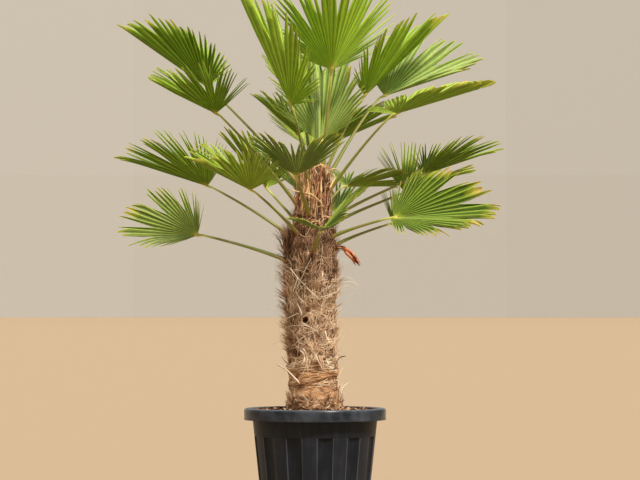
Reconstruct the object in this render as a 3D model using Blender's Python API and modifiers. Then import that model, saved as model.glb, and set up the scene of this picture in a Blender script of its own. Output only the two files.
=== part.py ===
"""A windmill palm growing in a black nursery pot.

The pot stands on z = 0 with its axis on the Z axis and is full of soil. The trunk is wrapped in
the matted fibre of its old leaf bases, and fan leaves grow from its crown on long petioles.
Metres, +Z up; the plant's front faces -Y and its right is +X.
"""

import math
import random
from collections import namedtuple

import bmesh
import bpy
import numpy
from mathutils import Vector

UP = Vector((0.0, 0.0, 1.0))
SEAT = 0.0004  # Clearance between a piece and the socket or hollow that holds it
MERGE = 0.00002
SEED = 7

# Pot: black plastic, a turned-down rim, a plain band under it and flutes below.
POT_HEIGHT = 0.340
POT_WALL = 0.003
POT_BASE_RADIUS = 0.155
POT_TOP_RADIUS = 0.190
POT_FOOT = 0.006
RIM_RADIUS = 0.210
RIM_DROP = 0.031
RIM_ROUND = 0.0025
FLUTES = 12
FLUTE_DEPTH = 0.0035
FLUTE_LOW = 0.020
FLUTE_HIGH = 0.254
FLUTE_RAMP = 0.010
FLUTE_BEARING = -80.0  # Degrees; one flute is 10 degrees to the right of the front
FLUTE_COLUMNS = (-8.0, -5.5, 5.5, 8.0)  # Degrees from the flute's middle
EVEN_COLUMNS = (-11.25, -3.75, 3.75, 11.25)
DRAIN_HOLES = 4
DRAIN_RADIUS = 0.006
DRAIN_CIRCLE = 0.115

# Soil: fills the pot to its rim, with a plain hole for the foot of the trunk.
SOIL_COLUMNS = 36
SOIL_TOP = 0.338
SOIL_EDGE = 0.331
SOIL_BUMP = 0.0012

# Trunk: height and radius, from the foot that stands in the soil to the crown.
TRUNK_COLUMNS = 28
TRUNK_FOOT = 0.240
TRUNK_FOOT_RADIUS = 0.074
TRUNK_BASE = 0.339
TRUNK_TOP = 1.075
TRUNK_ROWS = 24
TRUNK_PROFILE = (
    (0.339, 0.079),
    (0.360, 0.076),
    (0.425, 0.071),
    (0.480, 0.074),
    (0.540, 0.070),
    (0.615, 0.069),
    (0.700, 0.074),
    (0.775, 0.075),
    (0.830, 0.069),
    (0.885, 0.059),
    (0.940, 0.052),
    (0.990, 0.049),
    (1.040, 0.043),
    (1.075, 0.034),
)
TRUNK_SWAY = 0.012
BOOT_RELIEF = 0.0040
BOOT_PITCH = 0.092
GOLDEN_TURN = 137.5

# Stubs of cut petioles and tufts of fibre on the trunk.
STUBS = 14
STUB_LOW = 0.415
STUB_HIGH = 0.800
STUB_FIRST_BEARING = 20.0
STUB_LENGTH = 0.055
STUB_SUNK = 0.014
STUB_RADII = (0.009, 0.006)
TUFTS = 54
TUFT_LOW = 0.380
TUFT_HIGH = 0.985
TUFT_LENGTH = (0.045, 0.075)
TUFT_SUNK = 0.010
TUFT_RADIUS = 0.003
TUFT_CLEAR = 0.014

# Petioles: radius at the trunk, halfway and at the hub of the blade.
PETIOLE_SUNK = 0.012
PETIOLE_RADII = (0.0085, 0.0058, 0.0036)
PETIOLE_STEPS = (0.0, 0.22, 0.46, 0.72, 1.0)
PETIOLE_ARCH = 0.12
HUB_NECK = 0.016
HUB_REACH = 0.003

# Blades: pleated fans, split from half their length into pointed segments.
BLADE_THICKNESS = 0.0012
HUB_THICKNESS = 0.0090
BLADE_SPLIT = 0.50
BLADE_CONE = 6.0
BLADE_PLEAT = 0.30
TIP_DROOP = 0.03
FOLD_EASE = 25.0
FALL_OFF = 1.2

# Unopened spear leaf and an old flower stalk.
SPEAR_POINTS = (
    (0.004, 0.012, 1.050),
    (0.006, 0.020, 1.130),
    (0.006, 0.045, 1.240),
    (0.000, 0.080, 1.350),
    (-0.006, 0.110, 1.430),
)
SPEAR_RADII = (0.0070, 0.0065, 0.0085, 0.0070, 0.0012)
STALK_POINTS = (
    (0.044, -0.018, 0.826),
    (0.080, -0.032, 0.824),
    (0.104, -0.042, 0.806),
    (0.122, -0.048, 0.786),
    (0.134, -0.052, 0.768),
)
STALK_RADII = (0.0050, 0.0060, 0.0105, 0.0090, 0.0030)

# One row for each frond. hub: where the blade joins its petiole. rise: direction of the blade in
# the front view, in degrees, 0 to the right and 90 up. lean: degrees back from the viewer. roll:
# turn of the blade about its own axis. length: longest segment. spread: degrees from the axis to
# the last segment on each of its two sides. fold: degrees that each half is folded up. shorten:
# share that the last segment is shorter. root: height on the trunk. segments: how many the blade
# is split into.
Frond = namedtuple("Frond", "hub rise lean roll length spread fold shorten root segments tone")
FRONDS = (
    Frond((-0.330, 0.120, 1.315), 150, 0, 2, 0.335, (105, 105), 32, 0.50, 1.000, 22, "deep"),
    Frond((-0.295, -0.100, 1.220), 160, -35, 0, 0.255, (102, 98), 36, 0.42, 0.940, 20, "deep"),
    Frond((-0.325, 0.040, 1.010), 167, 0, 8, 0.295, (108, 108), 38, 0.40, 0.850, 22, "deep"),
    Frond((-0.190, -0.170, 0.990), 160, -35, 10, 0.245, (108, 96), 36, 0.50, 0.860, 20, "mid"),
    Frond((-0.350, -0.060, 0.860), 180, -5, 54, 0.255, (40, 105), 17, 0.60, 0.780, 20, "deep"),
    Frond((-0.150, 0.160, 1.010), 134, 20, 0, 0.250, (100, 100), 32, 0.50, 0.880, 20, "mid"),
    Frond((-0.054, -0.205, 1.031), 93, -74, 0, 0.245, (105, 105), 30, 0.40, 0.915, 20, "deep"),
    Frond((-0.072, -0.172, 1.240), 121, -12, 18, 0.390, (100, 100), 34, 0.75, 1.000, 22, "bright"),
    Frond((0.050, -0.050, 1.355), 86, -38, 0, 0.355, (92, 92), 30, 0.36, 1.030, 22, "bright"),
    Frond((0.020, 0.090, 1.145), 84, 15, 10, 0.285, (70, 70), 30, 0.36, 1.055, 18, "grey"),
    Frond((0.152, 0.090, 1.286), 39, 0, 0, 0.365, (80, 92), 32, 0.72, 1.035, 22, "bright"),
    Frond((0.213, 0.150, 1.290), 17, 12, 26, 0.345, (105, 40), 30, 0.72, 1.010, 20, "grey"),
    Frond((0.245, -0.100, 1.220), 12, 0, 4, 0.315, (140, 112), 9, 0.60, 0.975, 22, "mid"),
    Frond((0.030, 0.220, 1.140), 20, 35, 0, 0.285, (95, 95), 32, 0.50, 1.015, 20, "mid"),
    Frond((0.095, 0.080, 1.010), -4, 45, 0, 0.245, (100, 100), 24, 0.68, 0.940, 18, "mid"),
    Frond((0.275, 0.140, 0.995), 18, 40, 20, 0.270, (105, 105), 32, 0.50, 0.885, 20, "mid"),
    Frond((0.330, 0.020, 1.045), 14, 20, 0, 0.270, (100, 100), 32, 0.70, 0.905, 20, "deep"),
    Frond((0.235, -0.120, 0.910), 3, 0, 46, 0.320, (100, 115), 20, 0.84, 0.850, 22, "deep"),
    Frond((0.240, 0.180, 0.900), 0, 40, 20, 0.240, (92, 92), 30, 0.50, 0.820, 18, "mid"),
    Frond((0.019, -0.225, 0.868), -16, -79, 16, 0.210, (105, 75), 32, 0.40, 0.810, 18, "deep"),
    Frond((0.065, 0.370, 0.940), 50, 60, 0, 0.225, (100, 100), 30, 0.50, 0.890, 18, "mid"),
    Frond((-0.055, 0.200, 1.175), 142, 20, 0, 0.205, (100, 100), 32, 0.50, 0.995, 18, "mid"),
    Frond((-0.060, 0.360, 1.015), 140, 55, 0, 0.225, (100, 100), 32, 0.50, 0.870, 18, "mid"),
    Frond((-0.015, 0.420, 1.145), 100, 60, 0, 0.275, (100, 100), 32, 0.50, 0.945, 18, "mid"),
    Frond((-0.040, 0.200, 1.270), 105, 35, 0, 0.270, (100, 100), 32, 0.50, 1.030, 18, "mid"),
)

COLOURS = {
    "pot": (0.012, 0.013, 0.015),
    "soil": (0.085, 0.034, 0.018),
    "trunk": (0.200, 0.110, 0.055),
    "spear": (0.240, 0.330, 0.080),
    "stalk": (0.420, 0.180, 0.060),
    "bright": (0.210, 0.330, 0.060),
    "mid": (0.130, 0.220, 0.050),
    "deep": (0.085, 0.140, 0.040),
    "grey": (0.150, 0.200, 0.110),
}


def new_collection(name):
    collection = bpy.data.collections.new(name)
    bpy.context.scene.collection.children.link(collection)
    return collection


def finish_of(name, roughness):
    """The plain material of one kind of piece."""
    material = bpy.data.materials.get(name) or bpy.data.materials.new(name)
    material.use_nodes = True
    shader = material.node_tree.nodes["Principled BSDF"]
    shader.inputs["Base Color"].default_value = (*COLOURS[name], 1.0)
    shader.inputs["Roughness"].default_value = roughness
    shader.inputs["Metallic"].default_value = 0.0
    return material


def add_object(name, mesh, collection):
    piece = bpy.data.objects.new(name, mesh)
    collection.objects.link(piece)
    return piece


def mesh_of(name, bm):
    """A mesh from a welded bmesh, its faces pointing out."""
    bmesh.ops.remove_doubles(bm, verts=bm.verts, dist=MERGE)
    bmesh.ops.recalc_face_normals(bm, faces=bm.faces)
    mesh = bpy.data.meshes.new(name)
    bm.to_mesh(mesh)
    bm.free()
    return mesh


def grid(bm, columns, rows, place):
    """A grid of faces whose corners go where place(column, row) says."""
    made = bmesh.ops.create_grid(bm, x_segments=columns, y_segments=rows, size=1.0)
    for vert in made["verts"]:
        column = round((vert.co.x + 1.0) / 2.0 * columns)
        row = round((vert.co.y + 1.0) / 2.0 * rows)
        vert.co = place(column, row)


def polar(radius, angle, height):
    return Vector((radius * math.cos(angle), radius * math.sin(angle), height))


def keep_evaluated(piece):
    """Apply the modifiers of a piece."""
    evaluated = piece.evaluated_get(bpy.context.evaluated_depsgraph_get())
    mesh = bpy.data.meshes.new_from_object(evaluated)
    piece.modifiers.clear()
    piece.data = mesh


def boolean(piece, operation, others):
    """Join a collection of solids to a piece, or cut them from it, and remove them."""
    modifier = piece.modifiers.new(operation.title(), "BOOLEAN")
    modifier.operation = operation
    modifier.operand_type = "COLLECTION"
    modifier.collection = others
    modifier.solver = "EXACT"
    keep_evaluated(piece)
    for other in list(others.objects):
        bpy.data.objects.remove(other)
    bpy.data.collections.remove(others)


def tube(name, points, radii, collection):
    """A solid tube with six sides through the points, its caps welded."""
    curve = bpy.data.curves.new(name, "CURVE")
    curve.dimensions = "3D"
    curve.bevel_depth = 1.0
    curve.bevel_resolution = 1
    curve.use_fill_caps = True
    spline = curve.splines.new("POLY")
    spline.points.add(len(points) - 1)
    for point, place, radius in zip(spline.points, points, radii):
        point.co = (*place, 1.0)
        point.radius = radius
    line = bpy.data.objects.new(name + "_line", curve)
    collection.objects.link(line)
    evaluated = line.evaluated_get(bpy.context.evaluated_depsgraph_get())
    mesh = bpy.data.meshes.new_from_object(evaluated)
    bpy.data.objects.remove(line)
    bm = bmesh.new()
    bm.from_mesh(mesh)
    bpy.data.meshes.remove(mesh)
    return add_object(name, mesh_of(name, bm), collection)


def pot_wall_radius(height):
    slope = (POT_TOP_RADIUS - POT_BASE_RADIUS) / (POT_HEIGHT - POT_FOOT)
    return POT_BASE_RADIUS + slope * max(height - POT_FOOT, 0.0)


def pot_rows():
    """Radius, height, flute depth and column spacing along the pot's outline.

    It runs from the middle of the floor up the outside of the wall, and then along the inside of
    the turned-down rim.
    """
    under = POT_HEIGHT - POT_WALL
    skirt = RIM_RADIUS - POT_WALL
    wall = [
        (FLUTE_LOW, 0.0),
        (FLUTE_LOW + FLUTE_RAMP, FLUTE_DEPTH),
        (FLUTE_HIGH - FLUTE_RAMP, FLUTE_DEPTH),
        (FLUTE_HIGH, 0.0),
    ]
    rows = [(0.0, 0.0, 0.0, EVEN_COLUMNS)]
    rows.append((POT_BASE_RADIUS - POT_FOOT, 0.0, 0.0, EVEN_COLUMNS))
    rows.append((POT_BASE_RADIUS, POT_FOOT, 0.0, EVEN_COLUMNS))
    for height, depth in wall:
        rows.append((pot_wall_radius(height), height, depth, FLUTE_COLUMNS))
    rows.append((POT_TOP_RADIUS, under - RIM_ROUND, 0.0, EVEN_COLUMNS))
    rows.append((POT_TOP_RADIUS + RIM_ROUND, under, 0.0, EVEN_COLUMNS))
    rows.append((skirt - RIM_ROUND, under, 0.0, EVEN_COLUMNS))
    rows.append((skirt, under - RIM_ROUND, 0.0, EVEN_COLUMNS))
    rows.append((skirt, POT_HEIGHT - RIM_DROP, 0.0, EVEN_COLUMNS))
    return rows


def make_pot(collection):
    rows = pot_rows()
    per_flute = len(FLUTE_COLUMNS)

    def place(column, row):
        radius, height, depth, spacing = rows[row]
        flute, step = divmod(column, per_flute)
        recessed = step in (1, 2)
        angle = FLUTE_BEARING + flute * 360.0 / FLUTES + spacing[step]
        return polar(radius - depth * recessed, math.radians(angle), height)

    bm = bmesh.new()
    grid(bm, FLUTES * per_flute, len(rows) - 1, place)
    bmesh.ops.remove_doubles(bm, verts=bm.verts, dist=MERGE)
    mesh = bpy.data.meshes.new("pot")
    bm.to_mesh(mesh)
    bm.free()
    pot = add_object("pot", mesh, collection)
    shell = pot.modifiers.new("Wall", "SOLIDIFY")
    shell.thickness = POT_WALL
    shell.offset = -1.0
    shell.use_even_offset = True
    keep_evaluated(pot)

    drills = new_collection("drain_holes")
    for i in range(DRAIN_HOLES):
        bm = bmesh.new()
        bmesh.ops.create_cone(
            bm,
            cap_ends=True,
            segments=8,
            radius1=DRAIN_RADIUS,
            radius2=DRAIN_RADIUS,
            depth=6 * POT_WALL,
        )
        angle = math.radians(45.0 + i * 360.0 / DRAIN_HOLES)
        bmesh.ops.translate(bm, verts=bm.verts, vec=polar(DRAIN_CIRCLE, angle, 0.0))
        add_object(f"drain_hole_{i + 1}", mesh_of("drain_hole", bm), drills)
    boolean(pot, "DIFFERENCE", drills)
    pot.data.shade_smooth()
    pot.data.set_sharp_from_angle(angle=math.radians(25.0))
    pot.data.materials.append(finish_of("pot", 0.35))


def soil_rows():
    """Radius and height round the soil's section, from the floor of its hole to its underside."""
    hole = (TRUNK_FOOT_RADIUS + SEAT) / math.cos(math.pi / SOIL_COLUMNS)
    facet = math.cos(math.radians(FLUTE_COLUMNS[2]))
    top = (POT_TOP_RADIUS - POT_WALL) * facet - SEAT
    low = (pot_wall_radius(FLUTE_LOW) - POT_WALL - FLUTE_DEPTH) * facet - SEAT
    high = (pot_wall_radius(FLUTE_HIGH) - POT_WALL - FLUTE_DEPTH) * facet - SEAT
    return [
        (0.0, TRUNK_FOOT - SEAT),
        (hole, TRUNK_FOOT - SEAT),
        (hole, SOIL_TOP),
        (0.110, SOIL_TOP),
        (0.150, SOIL_TOP - 0.002),
        (top, SOIL_EDGE),
        (high, FLUTE_HIGH),
        (low, FLUTE_LOW),
        (POT_BASE_RADIUS - 0.010, POT_WALL + SEAT),
        (0.0, POT_WALL + SEAT),
    ]


def make_soil(collection):
    rows = soil_rows()

    def place(column, row):
        radius, height = rows[row]
        angle = 2.0 * math.pi * column / SOIL_COLUMNS
        if row in (3, 4):
            height -= SOIL_BUMP * (1.0 + math.sin(7.0 * angle + 2.0 * row))
        return polar(radius, angle, height)

    bm = bmesh.new()
    grid(bm, SOIL_COLUMNS, len(rows) - 1, place)
    soil = add_object("soil", mesh_of("soil", bm), collection)
    soil.data.materials.append(finish_of("soil", 0.95))


def trunk_middle(height):
    share = (height - TRUNK_BASE) / (TRUNK_TOP - TRUNK_BASE)
    share = min(max(share, 0.0), 1.0)
    return Vector((-TRUNK_SWAY * math.sin(math.pi * share), 0.0, height))


def trunk_radius(height):
    heights, radii = zip(*TRUNK_PROFILE)
    return float(numpy.interp(height, heights, radii))


def boot_relief(angle, height):
    """Swellings of the old leaf bases, in two crossing spirals."""
    turn = angle / (2.0 * math.pi)
    climb = height / BOOT_PITCH
    fade = min(1.0, (height - TRUNK_BASE) / 0.06, (TRUNK_TOP + 0.02 - height) / 0.06)
    rise = math.sin(2.0 * math.pi * (3.0 * turn + climb))
    return BOOT_RELIEF * fade * rise * math.sin(2.0 * math.pi * (5.0 * turn - climb))


def trunk_core(collection):
    """The trunk's own solid: a round foot in the soil, the column and a domed crown."""
    foot = [(0.0, TRUNK_FOOT), (TRUNK_FOOT_RADIUS, TRUNK_FOOT), (TRUNK_FOOT_RADIUS, SOIL_TOP)]
    crown = [(0.022, TRUNK_TOP + 0.014), (0.0, TRUNK_TOP + 0.020)]
    heights = numpy.linspace(TRUNK_BASE, TRUNK_TOP, TRUNK_ROWS)
    column_rows = [(trunk_radius(height), float(height)) for height in heights]
    rows = foot + column_rows + crown

    def place(column, row):
        radius, height = rows[row]
        angle = 2.0 * math.pi * column / TRUNK_COLUMNS
        if len(foot) < row < len(foot) + TRUNK_ROWS:
            radius += boot_relief(angle, height)
        return trunk_middle(height) + polar(radius, angle, 0.0)

    bm = bmesh.new()
    grid(bm, TRUNK_COLUMNS, len(rows) - 1, place)
    return add_object("trunk", mesh_of("trunk", bm), collection)


def spike(name, root, way, length, radii, sides, collection):
    """A tapered solid from root along way."""
    bm = bmesh.new()
    bmesh.ops.create_cone(
        bm,
        cap_ends=True,
        segments=sides,
        radius1=radii[0],
        radius2=radii[1],
        depth=length,
    )
    turn = UP.rotation_difference(way).to_matrix()
    bmesh.ops.translate(bm, verts=bm.verts, vec=(0.0, 0.0, length / 2.0))
    bmesh.ops.rotate(bm, verts=bm.verts, cent=(0.0, 0.0, 0.0), matrix=turn)
    bmesh.ops.translate(bm, verts=bm.verts, vec=root)
    return add_object(name, mesh_of(name, bm), collection)


def line_gap(start, end, points):
    """Least distance from a straight line to a bent one, tried at steps along both."""
    least = 1.0
    for i in range(6):
        here = start.lerp(end, i / 5.0)
        for a, b in zip(points, points[1:]):
            run = b - a
            share = min(max((here - a).dot(run) / run.length_squared, 0.0), 1.0)
            least = min(least, (a + run * share - here).length)
    return least


def add_stubs(collection, lines):
    """Stubs of cut petioles, climbing the trunk by the golden angle."""
    for i in range(STUBS):
        height = STUB_LOW + (STUB_HIGH - STUB_LOW) * i / (STUBS - 1)
        bearing = math.radians(STUB_FIRST_BEARING + GOLDEN_TURN * i)
        out = polar(1.0, bearing, 0.0)
        way = (out + UP * 1.1).normalized()
        root = trunk_middle(height) + out * (trunk_radius(height) - STUB_SUNK)
        end = root + way * STUB_LENGTH
        if min(line_gap(root, end, line) for line in lines) < TUFT_CLEAR + STUB_RADII[0]:
            continue
        spike(f"stub_{i + 1}", root, way, STUB_LENGTH, STUB_RADII, 5, collection)


def add_tufts(collection, lines):
    """Spikes of loose fibre that stand out of the trunk's mat all round."""
    draw = random.Random(SEED)
    for i in range(TUFTS):
        height = TUFT_LOW + (TUFT_HIGH - TUFT_LOW) * (i + 0.5) / TUFTS
        bearing = math.radians(GOLDEN_TURN * i + draw.uniform(-12.0, 12.0))
        out = polar(1.0, bearing, 0.0)
        along = UP.cross(out) * draw.uniform(-0.9, 0.9)
        way = (out + along + UP * draw.uniform(0.2, 1.4)).normalized()
        length = draw.uniform(*TUFT_LENGTH)
        root = trunk_middle(height) + out * (trunk_radius(height) - TUFT_SUNK)
        end = root + way * length
        if min(line_gap(root, end, line) for line in lines) < TUFT_CLEAR:
            continue
        spike(f"tuft_{i + 1}", root, way, length, (TUFT_RADIUS, 0.0), 3, collection)


def make_trunk(collection, stems):
    """The trunk with its stubs and tufts, and a socket for the root of each stem."""
    trunk = trunk_core(collection)
    lines = [points for points, radii in stems]
    growths = new_collection("growths")
    add_stubs(growths, lines)
    add_tufts(growths, lines)
    boolean(trunk, "UNION", growths)

    sockets = new_collection("sockets")
    for i, (points, radii) in enumerate(stems):
        way = (points[1] - points[0]).normalized()
        begin = [points[0] - way * SEAT, points[1], points[2]]
        wide = [radius + SEAT for radius in radii[:3]]
        tube(f"socket_{i + 1}", begin, wide, sockets)
    boolean(trunk, "DIFFERENCE", sockets)
    trunk.data.materials.clear()
    trunk.data.materials.append(finish_of("trunk", 0.9))


def blade_frame(frond):
    """The blade's axis, the way to its side and the way that its upper face looks."""
    rise = math.radians(frond.rise)
    lean = math.radians(frond.lean)
    roll = math.radians(frond.roll)
    axis = Vector((math.cos(rise) * math.cos(lean), math.sin(lean), math.sin(rise) * math.cos(lean)))
    side = UP.cross(axis).normalized()
    if side.y > 0.0:
        side = -side
    upper = (UP - axis * axis.z).normalized()
    face = upper * math.cos(roll) + side * math.sin(roll)
    return axis, axis.cross(face), face


def ray(frond, frame, angle):
    """The way from the hub along the fan, angle radians from the blade's axis."""
    axis, side, face = frame
    fold = math.radians(frond.fold) * min(1.0, abs(angle) / math.radians(FOLD_EASE))
    across = side * (math.sin(angle) * math.cos(fold)) + face * (abs(math.sin(angle)) * math.sin(fold))
    way = (axis * math.cos(angle) + across).normalized()
    return (way + face * math.tan(math.radians(BLADE_CONE))).normalized()


def ray_face(frond, frame, angle):
    """The way that the fan's upper face looks at an angle."""
    step = math.radians(2.0)
    turn = ray(frond, frame, angle + step) - ray(frond, frame, angle - step)
    facing = ray(frond, frame, angle).cross(turn).normalized()
    return facing if facing.dot(frame[2]) > 0.0 else -facing


def segment_length(frond, angle):
    near, far = frond.spread
    share = abs(angle) / math.radians(far if angle > 0.0 else near)
    return frond.length * (1.0 - frond.shorten * share**FALL_OFF)


def add_segment(bm, frond, frame, left, right):
    """One segment: pleated from the hub to the split, and then free to its tip."""
    hub = Vector(frond.hub)
    middle = (left + right) / 2.0
    edges = []
    for angle, side in ((left, 0.5), (middle, -0.5), (right, 0.5)):
        inner = segment_length(frond, angle) * BLADE_SPLIT
        rise = side * BLADE_PLEAT * inner * (right - left) / 2.0
        edges.append(hub + ray(frond, frame, angle) * inner + ray_face(frond, frame, angle) * rise)
    reach = segment_length(frond, middle)
    tip = hub + ray(frond, frame, middle) * reach - frame[2] * reach * TIP_DROOP
    rows = ([hub] * 3, edges, [tip] * 3)
    grid(bm, 2, 2, lambda column, row: rows[row][column])


def make_blade(name, frond, collection):
    frame = blade_frame(frond)
    bm = bmesh.new()
    near, far = (math.radians(angle) for angle in frond.spread)
    step = (near + far) / frond.segments
    for i in range(frond.segments):
        left = -near + i * step
        add_segment(bm, frond, frame, left, left + step)
    blade = add_object(name, mesh_of(name, bm), collection)
    hub = Vector(frond.hub)
    thick = blade.vertex_groups.new(name="hub")
    thick.add([v.index for v in blade.data.vertices if (v.co - hub).length < MERGE], 1.0, "REPLACE")
    leaf = blade.modifiers.new("Thickness", "SOLIDIFY")
    leaf.thickness = HUB_THICKNESS
    leaf.offset = 0.0
    leaf.vertex_group = thick.name
    leaf.thickness_vertex_group = BLADE_THICKNESS / HUB_THICKNESS
    keep_evaluated(blade)
    return blade


def petiole_line(frond):
    """The points and radii of a petiole, from its socket in the trunk to the hub."""
    hub = Vector(frond.hub)
    axis = blade_frame(frond)[0]
    middle = trunk_middle(frond.root)
    out = Vector((hub.x - middle.x, hub.y - middle.y, 0.0)).normalized()
    start = middle + out * (trunk_radius(frond.root) - PETIOLE_SUNK)
    neck = hub - axis * HUB_NECK
    span = (neck - start).length
    direct = (neck - start).normalized()
    first = start + (direct + UP * PETIOLE_ARCH).normalized() * span * 0.35
    second = neck - (direct * 4.0 + axis).normalized() * span * 0.3
    points = []
    for t in PETIOLE_STEPS:
        s = 1.0 - t
        point = start * s**3 + first * 3 * s * s * t + second * 3 * s * t * t + neck * t**3
        points.append(point)
    points.append(hub + axis * HUB_REACH)
    radii = [float(numpy.interp(t, (0.0, 0.5, 1.0), PETIOLE_RADII)) for t in PETIOLE_STEPS]
    radii.append(PETIOLE_RADII[-1])
    return points, radii


def make_frond(name, frond, collection):
    """A fan blade and its petiole, grown together."""
    blade = make_blade(name, frond, collection)
    petioles = new_collection("petioles")
    points, radii = petiole_line(frond)
    tube("petiole", points, radii, petioles)
    boolean(blade, "UNION", petioles)
    blade.data.materials.clear()
    blade.data.materials.append(finish_of(frond.tone, 0.45))
    return points, radii


def make_stem(name, finish, points, radii, collection):
    stem = tube(name, points, radii, collection)
    stem.data.shade_smooth()
    stem.data.materials.append(finish_of(finish, 0.6))


def main():
    for item in list(bpy.data.objects):
        bpy.data.objects.remove(item)
    collection = new_collection("potted_windmill_palm")
    spear = [Vector(point) for point in SPEAR_POINTS]
    stalk = [Vector(point) for point in STALK_POINTS]
    stems = [(spear, SPEAR_RADII), (stalk, STALK_RADII)]
    for i, frond in enumerate(FRONDS):
        stems.append(make_frond(f"frond_{i + 1:02d}", frond, collection))
    make_stem("spear_leaf", "spear", spear, SPEAR_RADII, collection)
    make_stem("old_flower_stalk", "stalk", stalk, STALK_RADII, collection)
    make_trunk(collection, stems)
    make_soil(collection)
    make_pot(collection)


main()
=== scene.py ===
import math
import random
from collections import namedtuple

import bpy
import numpy as np
from bpy.props import FloatProperty, FloatVectorProperty, IntProperty, PointerProperty
from bpy.types import Operator, Panel, PropertyGroup
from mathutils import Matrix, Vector, noise


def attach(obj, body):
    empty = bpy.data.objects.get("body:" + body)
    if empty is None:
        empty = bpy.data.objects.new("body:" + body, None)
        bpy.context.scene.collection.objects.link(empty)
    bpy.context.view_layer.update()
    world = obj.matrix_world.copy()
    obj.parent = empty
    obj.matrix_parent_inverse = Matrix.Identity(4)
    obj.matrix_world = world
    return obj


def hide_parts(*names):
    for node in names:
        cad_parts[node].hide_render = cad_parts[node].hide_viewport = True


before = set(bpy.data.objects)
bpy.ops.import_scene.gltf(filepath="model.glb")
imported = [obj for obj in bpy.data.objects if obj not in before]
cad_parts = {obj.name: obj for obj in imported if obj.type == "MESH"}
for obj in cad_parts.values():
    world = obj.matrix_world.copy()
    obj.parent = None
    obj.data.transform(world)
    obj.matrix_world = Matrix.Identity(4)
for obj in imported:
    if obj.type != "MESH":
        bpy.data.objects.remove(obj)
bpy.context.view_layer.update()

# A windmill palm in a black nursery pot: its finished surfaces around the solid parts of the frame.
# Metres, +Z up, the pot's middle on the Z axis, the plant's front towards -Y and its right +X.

bl_info = {
    "name": "Potted windmill palm",
    "version": (1, 0, 0),
    "blender": (4, 5, 0),
    "location": "3D View > Sidebar > Palm",
    "description": "Builds the leaves, fibre, compost and pot of a windmill palm",
    "category": "Add Mesh",
}

BODY = "root"
UP = np.array((0.0, 0.0, 1.0))
GOLDEN_TURN = 137.5

# Trunk: height and radius of the fibre mat's outside.
TRUNK_HEIGHTS = (0.339, 0.360, 0.425, 0.480, 0.540, 0.615, 0.700,
                 0.775, 0.830, 0.885, 0.940, 0.990, 1.040, 1.075)
TRUNK_RADII = (0.079, 0.076, 0.071, 0.074, 0.070, 0.069, 0.074,
               0.075, 0.069, 0.059, 0.052, 0.049, 0.043, 0.034)
TRUNK_BASE, TRUNK_TOP = TRUNK_HEIGHTS[0], TRUNK_HEIGHTS[-1]
TRUNK_SWAY = 0.012
# The swellings of old leaf bases: height from one to the next, and how far they stand out.
BOOT_PITCH = 0.092
BOOT_HEIGHT = 0.0042
# Lowest and highest place of a strand of fibre, which lies on the compost below.
STRAND_LOW, STRAND_HIGH = 0.3405, 1.080
# The mat darkens over this height.
DARK_FROM = 0.77
# Hollows left by fallen leaf bases: bearing in degrees, height, radius, depth.
HOLLOWS = (
    (-139.0, 0.512, 0.020, 0.022),
    (-106.0, 0.606, 0.013, 0.018),
    (-60.0, 0.560, 0.006, 0.008),
    (-28.0, 0.752, 0.012, 0.012),
    (35.0, 0.540, 0.018, 0.018),
    (110.0, 0.640, 0.020, 0.020),
    (165.0, 0.730, 0.016, 0.016),
)

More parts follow.
